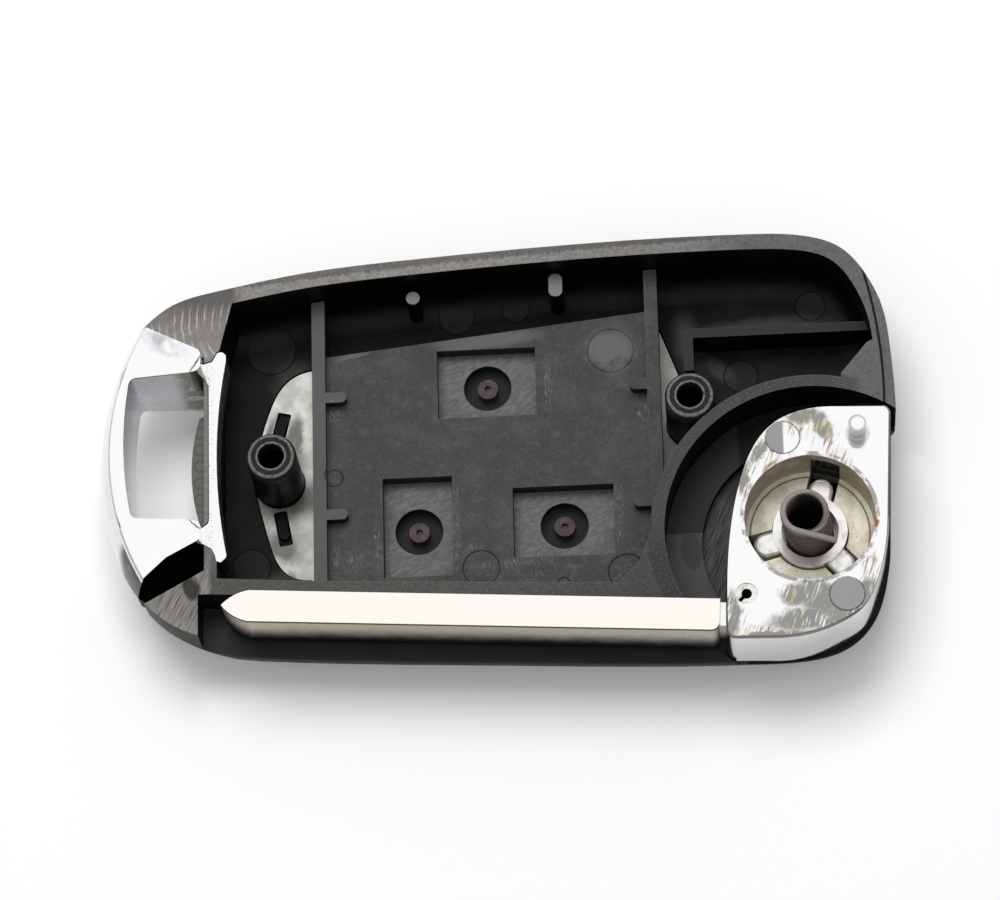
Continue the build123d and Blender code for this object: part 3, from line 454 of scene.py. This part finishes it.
def moulded_abs_carrier(look):
    """Black ABS, moulded matt: greyer than the shell, scuffed pale round its pockets."""
    material, tree, shader, place = start_material("moulded_abs_carrier", specular=0.32)
    up = upward(tree)
    x, y, z = add(tree, "parts", place).outputs
    grain = mottle(tree, place, look.grain / MM, 4.0, 0.7)
    fleck = mottle(tree, place, 0.5 * look.grain / MM, 2.0, 0.6)
    cloud = mottle(tree, place, 3.2, 5.0, 0.6)
    ruffled = frayed(tree, place, 0.8, 0.8)

    top = add(tree, "times", up, add(tree, "step", z, CARRIER_TOP - 0.15, CARRIER_TOP - 0.05))
    ribs = add(tree, "times", up, add(tree, "step", z, CARRIER_RIB_TOP - 0.15, CARRIER_RIB_TOP - 0.05))
    pocket = add(tree, "times", up, between(tree, z, RECESS_FLOOR - 0.2, RECESS_FLOOR + 0.2, 0.1))
    # The edge mask carries pale colour that is partly edge wear and partly a painted highlight on the edges
    worn, rounded = edges(tree, 0.14)
    base = add(tree, "mix", add(tree, "step", cloud, 0.35, 0.7), look.carrier, look.carrier_lit)
    # Painted shade: the carrier's walls are painted near black
    base = coat(tree, base, "0c0c0c", add(tree, "minus", 1.0, up))
    base = coat(tree, base, "1d1d1d", add(tree, "step", grain, 0.42, 0.62), 0.35)
    stroke = mottle(tree, add(tree, "turn", place, about_z(-28.0)), 0.24, 4.0, 0.6, (3, 1, 1))
    base = coat(tree, base, look.pocket_lit, pocket, 0.7)
    base = coat(tree, base, "8a8988", pocket, add(tree, "step", stroke, 0.35, 0.7), 0.45)
    base = coat(tree, base, look.carrier_lit, pocket, add(tree, "step", cloud, 0.5, 0.35), 0.5)
    base = coat(tree, base, "535353", ribs, add(tree, "step", x, 5.0, -5.0))
    base = coat(tree, base, "7a7877", add(tree, "most", top, ribs), worn, 0.3)

    pale = add(tree, "times", top, ovals(tree, ruffled, CARRIER_PALE, 0.4))
    base = coat(tree, base, "6e6d6c", pale, 0.55)
    scratch = mottle(tree, add(tree, "turn", place, about_z(82.0)), 0.16, 5.0, 0.75, (5, 1, 1))
    scuffs = add(tree, "times", top, add(tree, "step", scratch, 0.5, 0.62),
                 ovals(tree, ruffled, CARRIER_SCUFFS, 0.5))
    base = coat(tree, base, "8f8d8b", scuffs, 0.55)
    blotch = mottle(tree, place, 0.9, 5.0, 0.7)
    base = coat(tree, base, "5d5c5c", top, add(tree, "step", blotch, 0.5, 0.68), 0.35)
    dust = add(tree, "times", top, add(tree, "step", y, -7.5, -12.5), add(tree, "step", fleck, 0.56, 0.66),
               add(tree, "step", blotch, 0.4, 0.6))
    base = coat(tree, base, "8a8886", dust, 0.7)

    inside, ring = round_marks(tree, place, CARRIER_MARKS)
    # Painted shade: a dark line round each ejector mark stands for the shadow of its small step
    base = coat(tree, base, "0a0a0a", ring, top, 0.75)
    bright = add(tree, "times", oval(tree, place, (11.3, 11.6), (2.2, 2.2)), top,
                 add(tree, "step", cloud, 0.42, 0.6))
    base = coat(tree, base, "6f6f6e", bright, 0.6)
    rough = add(tree, "step", cloud, 0.3, 0.7, 0.46, 0.6)
    normal = add(tree, "bump", grain, 0.03 * MM, rounded)
    normal = add(tree, "bump", add(tree, "times", stroke, pocket), 0.05 * MM, normal)
    normal = add(tree, "bump", add(tree, "times", inside, top), -0.08 * MM, normal)
    join(tree, shader, Base_Color=base, Roughness=rough, Normal=normal)
    return material


def pale_plate(look):
    """Unpainted pale moulding, satin: warm grey, with dark patches of painted shadow round the boss and
    slots, and painted shade on its sides.
    """
    material, tree, shader, place = start_material("pale_moulded_plate", specular=0.4)
    cloud = mottle(tree, place, 2.2, 4.0)
    ruffled = frayed(tree, place, 0.9, 1.0)
    painted_shadow = ovals(tree, ruffled, PLATE_PAINTED_SHADOWS, 0.55)
    base = add(tree, "mix", add(tree, "step", cloud, 0.35, 0.7), look.plate, linear("f2f0ea"))
    base = coat(tree, base, "605f5a", painted_shadow, 0.85)
    far = add(tree, "step", add(tree, "along", place, (1.0, 0.0, 0.0)), -10.0, 0.0)
    base = coat(tree, base, "8a8884", far, 0.6)
    z = add(tree, "parts", place).outputs[2]
    # Painted shade: the plate's sides, below its top, are painted near black
    base = coat(tree, base, "0d0c0c", add(tree, "step", z, PLATE_TOP - 0.06, PLATE_TOP - 0.2))
    join(tree, shader, Base_Color=base, Roughness=add(tree, "step", cloud, 0.3, 0.7, 0.34, 0.46),
         Normal=add(tree, "bump", mottle(tree, place, 0.3, 3.0), 0.01 * MM))
    return material


def chrome_bow(look):
    """Bright chrome over a zinc casting: mirror-like, with pitting and a few stains."""
    material, tree, shader, place = start_material("chrome_plated_bow", metallic=1.0)
    up = upward(tree)
    x, y, z = add(tree, "parts", place).outputs
    cloud = mottle(tree, place, 2.0, 4.0, 0.65)
    fleck = mottle(tree, place, 0.16, 2.0, 0.6)
    ruffled = frayed(tree, place, 0.9, 0.8)
    top = add(tree, "times", up, add(tree, "step", z, BOW_TOP - 0.2, BOW_TOP - 0.1))
    wall = add(tree, "minus", 1.0, up)

    base = look.chrome
    patch = add(tree, "times", top, ovals(tree, ruffled, BOW_CLOUDS, 0.7))
    base = coat(tree, base, "b3b1bb", patch, add(tree, "step", cloud, 0.3, 0.6), 0.8)
    # Painted reflection: the ring window's inner walls are painted grey, darker towards the top, and near
    # black in a thin band at their top edge
    inner = add(tree, "times", wall, between(tree, x, -36.4, -28.0, 0.1), between(tree, y, -7.2, 9.3, 0.1),
                add(tree, "step", z, BOW_TOP + 0.1, BOW_TOP))
    grey = add(tree, "mix", add(tree, "step", z, BOW_TOP - 7.0, BOW_TOP - 1.0), linear("e4e5e8"),
               linear("bfc1c7"))
    grey = coat(tree, grey, "26241f", add(tree, "step", fleck, 0.66, 0.72), 0.9)
    base = coat(tree, base, grey, inner)
    dark_lip_reflection = add(tree, "times", inner, add(tree, "step", z, BOW_TOP - 0.32, BOW_TOP - 0.12))
    base = coat(tree, base, "191716", dark_lip_reflection)
    # Painted shade: the outer walls are painted a little grey, with a painted grey line along their top edge
    outside = add(tree, "times", wall, add(tree, "minus", 1.0, inner), add(tree, "step", x, -30.2, -30.6))
    base = coat(tree, base, "e2e3e6", outside)
    painted_rim_line = add(tree, "times", outside, between(tree, z, BOW_TOP - 0.42, BOW_TOP - 0.14, 0.06))
    base = coat(tree, base, "7d7e82", painted_rim_line, 0.8)
    cracks = ovals(tree, frayed(tree, place, 0.5, 0.35), BOW_CRACKS, 0.5)
    base = coat(tree, base, "3a3a3c", top, cracks, 0.85)
    stain = add(tree, "times", inner, add(tree, "step", y, 5.5, 7.0), add(tree, "step", x, -31.5, -30.2),
                add(tree, "step", cloud, 0.3, 0.5))
    base = coat(tree, base, "7d735a", stain, 0.8)
    outer = add(tree, "times", wall, add(tree, "step", x, -35.5, -36.5), add(tree, "step", cloud, 0.42, 0.7))
    tarnish = add(tree, "times", outer, between(tree, y, -9.0, -2.0, 1.5))
    base = coat(tree, base, "cfcfba", tarnish, 0.7)
    strip = add(tree, "times", add(tree, "step", x, -28.4, -28.1),
                add(tree, "step", z, BOW_TOP - 1.0, BOW_TOP - 2.0))
    pits = add(tree, "times", strip, add(tree, "step", fleck, 0.6, 0.67), add(tree, "step", x, -27.2, -27.7))
    base = coat(tree, base, "3c3526", pits, 0.85)
    # Painted dark reflection: the walls at the near end, low down, are painted near black, with paler clouds
    seat = add(tree, "times", wall, add(tree, "step", y, -8.0, -9.5), add(tree, "step", x, -37.0, -36.0),
               add(tree, "step", z, BOW_TOP - 0.65, BOW_TOP - 0.8))
    base = coat(tree, base, "0b0b0c", seat, 0.94)
    base = coat(tree, base, "8a8682", seat, add(tree, "step", cloud, 0.5, 0.7), 0.3)
    rust = add(tree, "times", oval(tree, place, (-29.7, -9.3), (0.8, 0.5), -30.0),
               add(tree, "step", z, BOW_TOP - 1.0, BOW_TOP - 0.6), wall)
    base = coat(tree, base, "9b6a45", rust)

    rough = add(tree, "step", cloud, 0.35, 0.75, 0.05, 0.1)
    rough = add(tree, "plus", rough, add(tree, "times", inner, 0.22))
    rough = add(tree, "plus", rough, add(tree, "times", strip, 0.12))
    normal = add(tree, "bump", mottle(tree, place, 0.9, 3.0), 0.006 * MM)
    join(tree, shader, Base_Color=base, Roughness=rough,
         Normal=add(tree, "bump", add(tree, "times", strip, fleck), 0.02 * MM, normal))
    return material


def worn_chrome_head(look):
    """Chrome over a zinc casting, its flat top worn: grey bare patches and yellow-brown streaks."""
    material, tree, shader, place = start_material("worn_chrome_head", metallic=1.0)
    up = upward(tree)
    z = add(tree, "parts", place).outputs[2]
    top = add(tree, "times", up, between(tree, z, HEAD_TOP - 0.1, HEAD_TOP + 0.1, 0.05))
    away = flat_distance(tree, place, PIVOT)
    cloud = mottle(tree, place, 1.6, 4.0, 0.6)
    fleck = mottle(tree, place, 0.17, 2.0, 0.6)
    ruffled = frayed(tree, place, 0.7, 1.1)
    streak = mottle(tree, add(tree, "turn", place, about_z(20.0)), 0.2, 3.0, 0.6, (1, 9, 1))

    grey = ovals(tree, ruffled, HEAD_GREY, 0.3)
    brown = ovals(tree, ruffled, HEAD_BROWN, 0.45)
    lines = add(tree, "step", streak, 0.5, 0.62)
    warm = add(tree, "mix", add(tree, "step", cloud, 0.4, 0.6), linear("8e7a5a"), linear("dcc79a"))
    base = add(tree, "mix", add(tree, "times", top, grey, add(tree, "step", streak, 0.68, 0.54)), look.chrome,
               linear("979894"))
    base = coat(tree, base, warm, top, brown, lines, 0.85)
    outer = add(tree, "times", add(tree, "minus", 1.0, up),
                add(tree, "step", away, POCKET_RADIUS + 0.65, POCKET_RADIUS + 0.85))
    outline = add(tree, "times", outer, between(tree, z, HEAD_TOP - 0.34, HEAD_TOP + 0.01, 0.03))
    base = coat(tree, base, "5b5856", outline, 0.85)
    # Painted shade: the peg's sides are painted darker
    peg = add(tree, "times", add(tree, "step", z, HEAD_TOP + 0.02, HEAD_TOP + 0.1),
              add(tree, "minus", 1.0, up))
    base = coat(tree, base, "8b8a88", peg, 0.9)
    # Painted shade on the head's top round the peg's foot
    peg_foot_painted_shade = add(tree, "step", flat_distance(tree, place, PEG_SHADE_CENTRE), 1.35, 0.95)
    base = coat(tree, base, "9b9a98", peg_foot_painted_shade, top, 0.45)
    peg_rim = add(tree, "times", add(tree, "step", z, HEAD_TOP + 0.4, HEAD_TOP + 0.5), up,
                  add(tree, "step", flat_distance(tree, place, HEAD_PEG), 0.55, 0.75))
    base = coat(tree, base, "8f8e8d", peg_rim, 0.6)
    inside, ring = round_marks(tree, place, HEAD_MARKS, 0.1)
    half = add(tree, "most", add(tree, "step", add(tree, "along", place, (1, 0, 0)), 27.9, 27.7),
               add(tree, "step", add(tree, "along", place, (0, 1, 0)), -8.0, -9.0))
    base = coat(tree, base, "9c9d9e", top, inside, half)
    base = coat(tree, base, "4b4238", top, ring, add(tree, "step", fleck, 0.35, 0.5), 0.75)

    # The pocket is bare casting: olive on its wall, beige with dark specks on its floor
    wall = add(tree, "times", add(tree, "step", away, POCKET_RADIUS + 0.35, POCKET_RADIUS + 0.2),
               add(tree, "step", away, POCKET_RADIUS - 0.15, POCKET_RADIUS - 0.05),
               add(tree, "step", z, HEAD_TOP - 0.05, HEAD_TOP - 0.15))
    bare = add(tree, "mix", add(tree, "step", z, POCKET_FLOOR + 0.1, HEAD_TOP - 0.25), linear("a49f88"),
               linear("8d8672"))
    bare = coat(tree, bare, "b5ae96", add(tree, "step", cloud, 0.4, 0.7))
    base = coat(tree, base, bare, wall)
    floor = add(tree, "times", add(tree, "step", away, POCKET_RADIUS + 0.05, POCKET_RADIUS - 0.05),
                add(tree, "step", z, POCKET_FLOOR + 0.3, POCKET_FLOOR + 0.15))
    beige = add(tree, "mix", add(tree, "step", cloud, 0.35, 0.65), linear("e2dcc6"), linear("fffcee"))
    beige = coat(tree, beige, "3a362c", add(tree, "step", fleck, 0.62, 0.7), 0.8)
    base = coat(tree, base, beige, floor)
    from_line = add(tree, "unsigned", add(tree, "minus", away, POCKET_LINE))
    edge = add(tree, "times", floor, add(tree, "step", from_line, 0.12, 0.04))
    base = coat(tree, base, "2e2a22", edge, 0.8)
    # Painted shade: the floors of the slots below the pocket floor are painted near black
    slots = add(tree, "times", add(tree, "step", z, POCKET_FLOOR - 0.05, POCKET_FLOOR - 0.25), up)
    base = coat(tree, base, "101010", slots)
    rim = add(tree, "times", top, add(tree, "step", away, POCKET_RADIUS + 0.5, POCKET_RADIUS + 0.3),
              add(tree, "step", cloud, 0.42, 0.56))
    base = coat(tree, base, "6e6153", rim, 0.7)
    copper = add(tree, "times", oval(tree, ruffled, (35.95, -9.7), (0.45, 1.2), 0.0),
                 add(tree, "step", z, 7.0, 8.0))
    base = coat(tree, base, "a5683f", copper)

    bare_casting = add(tree, "most", wall, floor)
    rough = add(tree, "step", add(tree, "times", top, add(tree, "most", grey, brown)), 0.0, 1.0, 0.1, 0.3)
    rough = add(tree, "plus", rough, add(tree, "times", bare_casting, 0.35))
    normal = add(tree, "bump", fleck, 0.0025 * MM)
    normal = add(tree, "bump", add(tree, "times", top, streak, add(tree, "most", grey, brown)), 0.01 * MM,
                 normal)
    normal = add(tree, "bump", add(tree, "times", inside, top), -0.06 * MM, normal)
    join(tree, shader, Base_Color=base, Roughness=rough, Normal=normal,
         Metallic=add(tree, "step", bare_casting, 0.0, 1.0, 1.0, 0.35))
    return material


def nickel_blade(look):
    """Nickel-plated steel: pale and warm, duller down its sides, which are painted darker towards the bottom
    as a painted reflection of the dark shell below.
    """
    material, tree, shader, place = start_material("nickel_plated_blade", metallic=1.0)
    up = upward(tree)
    z = add(tree, "parts", place).outputs[2]
    cloud = mottle(tree, place, 1.8, 4.0, 0.6)
    fleck = mottle(tree, place, 0.2, 3.0, 0.6)
    drawn = mottle(tree, add(tree, "turn", place, about_z(3.7)), 0.12, 2.0, 0.5, (30, 1, 1))
    # Painted reflection: the sides darken towards the bottom
    height = add(tree, "plus", z, add(tree, "times", cloud, 2.0))
    side = add(tree, "mix", add(tree, "step", height, BLADE_TOP - 4.4, BLADE_TOP - 0.6),
               linear("2a2724"), linear("cdc4b6"))
    side = coat(tree, side, "4b463f", add(tree, "step", fleck, 0.5, 0.7), 0.25)
    base = add(tree, "mix", up, side, look.nickel)
    edge = add(tree, "times", add(tree, "minus", 1.0, up),
               add(tree, "step", z, BLADE_TOP - 0.55, BLADE_TOP - 0.4))
    base = coat(tree, base, "38271b", edge, 0.95)
    rough = add(tree, "step", up, 0.0, 1.0, 0.36, 0.16)
    rough = add(tree, "plus", rough, add(tree, "times", drawn, 0.08))
    join(tree, shader, Base_Color=base, Roughness=rough, Normal=add(tree, "bump", fleck, 0.004 * MM))
    return material


def plain_metal(name, colour, dark, rough, size=1.0, metallic=1.0):
    """Small bare or plated pieces: even metal with a soft mottle."""
    material, tree, shader, place = start_material(name, metallic=metallic)
    cloud = mottle(tree, place, size, 4.0, 0.6)
    fleck = mottle(tree, place, 0.15, 2.0)
    base = add(tree, "mix", add(tree, "step", cloud, 0.45, 0.7), linear(colour), linear(dark))
    base = coat(tree, base, "26231f", add(tree, "step", fleck, 0.64, 0.72), 0.5)
    join(tree, shader, Base_Color=base, Roughness=add(tree, "step", cloud, 0.3, 0.7, rough, rough + 0.12),
         Normal=add(tree, "bump", fleck, 0.006 * MM))
    return material


def oiled_spring_wire():
    """Oil-tempered spring wire: grey-brown, with a painted highlight on the top coil and painted shade inside
    the coil.
    """
    material, tree, shader, place = start_material("oiled_spring_wire", metallic=0.35)
    z = add(tree, "parts", place).outputs[2]
    away = flat_distance(tree, place, (PIVOT[0] - 0.2, PIVOT[1]))
    cloud = mottle(tree, place, 1.4, 3.0)
    base = add(tree, "mix", add(tree, "step", cloud, 0.35, 0.7), linear("5f5853"), linear("78706a"))
    # Painted highlight on the top coil, and painted shade on the inner face of the coil
    base = coat(tree, base, "948b87", add(tree, "step", z, 12.6, 13.6))
    base = coat(tree, base, "1c1417", add(tree, "step", away, 1.98, 1.86), add(tree, "step", z, 14.2, 13.4))
    join(tree, shader, Base_Color=base, Roughness=add(tree, "step", cloud, 0.3, 0.7, 0.42, 0.55))
    return material


def plain_plastic(name, colour, lit, rough):
    """Small moulded pieces in one colour with a soft mottle."""
    material, tree, shader, place = start_material(name, specular=0.35)
    cloud = mottle(tree, place, 0.9, 4.0)
    base = add(tree, "mix", add(tree, "step", cloud, 0.35, 0.7), linear(colour), linear(lit))
    join(tree, shader, Base_Color=base, Roughness=add(tree, "step", cloud, 0.3, 0.7, rough, rough + 0.1),
         Normal=add(tree, "bump", mottle(tree, place, 0.25, 3.0), 0.01 * MM))
    return material


def dress(node, material):
    """Gives a node of the frame its finish."""
    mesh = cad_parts[node].data
    mesh.materials.clear()
    mesh.materials.append(material)


def finish_piece(work, name, material, body):
    """Turns a bmesh into an object that rides on a body."""
    mesh = bpy.data.meshes.new(name)
    work.to_mesh(mesh)
    work.free()
    for face in mesh.polygons:
        face.use_smooth = True
    mesh.materials.append(material)
    piece = bpy.data.objects.new(name, mesh)
    bpy.context.scene.collection.objects.link(piece)
    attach(piece, body)
    return piece


def size(name, description, millimetres):
    return FloatProperty(name=name, description=description, default=millimetres * MM, unit="LENGTH")


def colour(name, description, hex_colour):
    return FloatVectorProperty(name=name, description=description, default=linear(hex_colour), size=4,
                               min=0.0, max=1.0, subtype="COLOR")


class FlipKeySettings(bpy.types.PropertyGroup):
    """Sizes and colours of the key's finishes"""
    wire: size("Spring wire", "Diameter of the spring's wire", 0.6)
    pitch: size("Spring pitch", "Rise of the spring in one turn", 0.61)
    coil: size("Coil radius", "Radius of the spring at the middle of its wire", 2.03)
    tail: size("Spring tail", "Length of the spring's straight tail", 3.8)
    grain: size("Mould grain", "Grain of the moulded plastic, drawn coarser than the real one", 0.3)
    shell: colour("Shell black", "Colour of the moulded shell", "0f0f10")
    shell_lit: colour("Shell black, lit", "Paler clouds of the moulded shell", "1e1e1f")
    rim: colour("Rim grey", "Ground rim at the ring end", "7f7b77")
    rim_dark: colour("Rim grey, dark", "Ground rim at the head end", "656464")
    carrier: colour("Carrier black", "Colour of the button carrier", "3d3d3d")
    carrier_lit: colour("Carrier black, lit", "Paler clouds of the button carrier", "4d4d4d")
    pocket_lit: colour("Pocket grey", "Floors of the button pockets", "656565")
    plate: colour("Plate grey", "Colour of the backing plate", "c3c1ba")
    chrome: colour("Chrome", "Colour of the chrome plate", "fafafb")
    nickel: colour("Nickel", "Colour of the blade's nickel plate", "fdfbf4")


class FLIPKEY_OT_shell(bpy.types.Operator):
    """Finish the moulded shell, its carrier and its plate"""
    bl_idname = "flipkey.shell"
    bl_label = "Shell"

    def execute(self, context):
        look = context.scene.flip_key
        dress("front_housing", moulded_abs_shell(look))
        dress("button_carrier", moulded_abs_carrier(look))
        dress("backing_plate", pale_plate(look))
        return {"FINISHED"}


class FLIPKEY_OT_bow(bpy.types.Operator):
    """Finish the key-ring bow"""
    bl_idname = "flipkey.bow"
    bl_label = "Bow"

    def execute(self, context):
        dress("keyring_bow", chrome_bow(context.scene.flip_key))
        return {"FINISHED"}


class FLIPKEY_OT_head(bpy.types.Operator):
    """Finish the flip head, its blade, pin and release button"""
    bl_idname = "flipkey.head"
    bl_label = "Head and blade"

    def execute(self, context):
        look = context.scene.flip_key
        dress("flip_head", worn_chrome_head(look))
        dress("key_blade", nickel_blade(look))
        dress("blade_roll_pin", plain_metal("steel_roll_pin", "f1efe9", "b5b0a6", 0.2, 0.6))
        dress("release_button", plain_metal("cast_release_button", "fbfaf8", "d6d3cb", 0.14, 1.1, 0.6))
        return {"FINISHED"}


class FLIPKEY_OT_spring(bpy.types.Operator):
    """Wind the flip spring and its tail"""
    bl_idname = "flipkey.spring"
    bl_label = "Spring"

    def execute(self, context):
        wind_spring(context.scene.flip_key)
        return {"FINISHED"}


def wind_spring(look, turns=17, lean=3.8, shift=0.16, tail_angle=251.0):
    """Close-wound coil on the release button's hub: a ring spun up its axis, with a straight tail."""
    sides = 12
    steps = 40
    work = bmesh.new()
    bmesh.ops.create_circle(work, segments=sides, radius=look.wire / 2)
    bmesh.ops.rotate(work, verts=work.verts, cent=(0, 0, 0), matrix=Matrix.Rotation(math.pi / 2, 3, "X"))
    bmesh.ops.translate(work, verts=work.verts, vec=(look.coil, 0, 0))
    first = list(work.edges)
    spun = bmesh.ops.spin(work, geom=first, cent=(0, 0, 0), axis=(0, 0, 1), dvec=(0, 0, look.pitch / steps),
                          angle=turns * math.tau, steps=turns * steps)
    last = [item for item in spun["geom_last"] if isinstance(item, bmesh.types.BMEdge)]
    drawn = bmesh.ops.extrude_edge_only(work, edges=last)["geom"]
    ends = [item for item in drawn if isinstance(item, bmesh.types.BMVert)]
    bmesh.ops.translate(work, verts=ends, vec=(0, look.tail, 0))
    bmesh.ops.holes_fill(work, edges=work.edges, sides=sides)
    bmesh.ops.recalc_face_normals(work, faces=work.faces)
    tilt = math.sin(math.radians(lean)) * look.coil
    base = HUB_SEAT * MM + look.wire / 2 + tilt + 0.06 * MM
    seat = Matrix.Translation((PIVOT[0] * MM + shift * MM, PIVOT[1] * MM, base))
    turn = Matrix.Rotation(math.radians(-lean), 4, "Y") @ Matrix.Rotation(math.radians(tail_angle), 4, "Z")
    bmesh.ops.transform(work, matrix=seat @ turn, verts=work.verts)
    spring = finish_piece(work, "wound_flip_spring", oiled_spring_wire(), "release")
    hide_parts("flip_spring")


class FLIPKEY_OT_buttons(bpy.types.Operator):
    """Finish the buttons and their stems"""
    bl_idname = "flipkey.buttons"
    bl_label = "Buttons"

    def execute(self, context):
        rubber = plain_plastic("moulded_button_rubber", "1a1a1b", "242425", 0.5)
        stem = plain_plastic("brown_stem_nylon", "3d3032", "54464a", 0.4)
        for name in ("lock", "unlock", "trunk"):
            dress(f"{name}_button", rubber)
            dress(f"{name}_plunger", stem)
        return {"FINISHED"}


class FLIPKEY_OT_stage(bpy.types.Operator):
    """Set the white table, the soft light and the camera"""
    bl_idname = "flipkey.stage"
    bl_label = "Stage"

    def execute(self, context):
        make_table()
        make_world()
        soft_light("light_back", **SOFT_BOX)
        make_camera()
        return {"FINISHED"}


def make_table():
    """White table that keeps a soft shadow and shows white to the camera."""
    work = bmesh.new()
    bmesh.ops.create_grid(work, x_segments=1, y_segments=1, size=2.0)
    mesh = bpy.data.meshes.new("table")
    work.to_mesh(mesh)
    work.free()
    table = bpy.data.objects.new("table", mesh)
    bpy.context.scene.collection.objects.link(table)
    material = bpy.data.materials.new("white_table")
    material.use_nodes = True
    tree = material.node_tree
    tree.nodes.clear()
    ray = add(tree, "ray").outputs
    seen = add(tree, "most", ray["Is Camera Ray"], ray["Is Glossy Ray"], ray["Is Transmission Ray"])
    add(tree, "output", add(tree, "either", add(tree, "times", seen, TABLE_GLOW),
                            add(tree, "matt", linear("fbfbfb")), add(tree, "glow", linear("ffffff"), 1.0)))
    mesh.materials.append(material)


def make_world():
    """Soft room: white to the camera and high up, greyer near the horizon for mirrors."""
    world = bpy.data.worlds.new("studio")
    bpy.context.scene.world = world
    world.use_nodes = True
    tree = world.node_tree
    tree.nodes.clear()
    ray = add(tree, "ray").outputs
    height = add(tree, "parts", add(tree, "sky place")).outputs[2]
    mirrored = add(tree, "step", height, 0.05, 0.7, 0.5, 1.0)
    strength = add(tree, "choose", ray["Is Glossy Ray"], 0.5, mirrored)
    strength = add(tree, "most", strength, ray["Is Camera Ray"], ray["Is Transmission Ray"])
    add(tree, "world", add(tree, "sky", linear("ffffff"), strength))


def soft_light(name, place, target, wide, tall, power):
    """Soft box at a place in millimetres, facing a target."""
    lamp = bpy.data.lights.new(name, "AREA")
    lamp.shape = "RECTANGLE"
    lamp.size = wide * MM
    lamp.size_y = tall * MM
    lamp.energy = power
    light = bpy.data.objects.new(name, lamp)
    spot = Vector(place) * MM
    aim = Vector(target) * MM - spot
    light.matrix_world = Matrix.Translation(spot) @ aim.to_track_quat("-Z", "Y").to_matrix().to_4x4()
    light.visible_glossy = False
    bpy.context.scene.collection.objects.link(light)


def make_camera():
    """Camera solved from the key's flat rim: its place, its view and its focus."""
    right = Vector((0.9976, -0.0234, -0.0656)).normalized()
    back = Vector((0.0535, -0.3461, 0.9367)).normalized()
    up = back.cross(right).normalized()
    right = up.cross(back).normalized()
    camera = bpy.data.cameras.new("camera")
    camera.sensor_width = SENSOR_WIDTH
    camera.lens = SENSOR_WIDTH * FOCUS_PIXELS / IMAGE_WIDTH
    camera.clip_start = 0.01
    camera.clip_end = 20.0
    seat = bpy.data.objects.new("camera", camera)
    turn = Matrix((right, up, back)).transposed().to_4x4()
    seat.matrix_world = Matrix.Translation(Vector(CAMERA_PLACE) * MM) @ turn
    bpy.context.scene.collection.objects.link(seat)
    bpy.context.scene.camera = seat


class FLIPKEY_PT_panel(bpy.types.Panel):
    """Lists the steps that dress the key"""
    bl_label = "Flip Key"
    bl_idname = "FLIPKEY_PT_panel"
    bl_space_type = "VIEW_3D"
    bl_region_type = "UI"
    bl_category = "Flip Key"

    def draw(self, context):
        for operator in OPERATORS:
            self.layout.operator(operator.bl_idname)


OPERATORS = (FLIPKEY_OT_shell, FLIPKEY_OT_bow, FLIPKEY_OT_head, FLIPKEY_OT_spring, FLIPKEY_OT_buttons,
             FLIPKEY_OT_stage)
CLASSES = (FlipKeySettings, *OPERATORS, FLIPKEY_PT_panel)


def register():
    for item in CLASSES:
        bpy.utils.register_class(item)
    bpy.types.Scene.flip_key = PointerProperty(type=FlipKeySettings)


def unregister():
    del bpy.types.Scene.flip_key
    for item in reversed(CLASSES):
        bpy.utils.unregister_class(item)


def main():
    register()
    bpy.ops.flipkey.shell()
    bpy.ops.flipkey.bow()
    bpy.ops.flipkey.head()
    bpy.ops.flipkey.spring()
    bpy.ops.flipkey.buttons()
    bpy.ops.flipkey.stage()
    bpy.context.scene.view_settings.view_transform = "Standard"


if __name__ == "__main__":
    main()
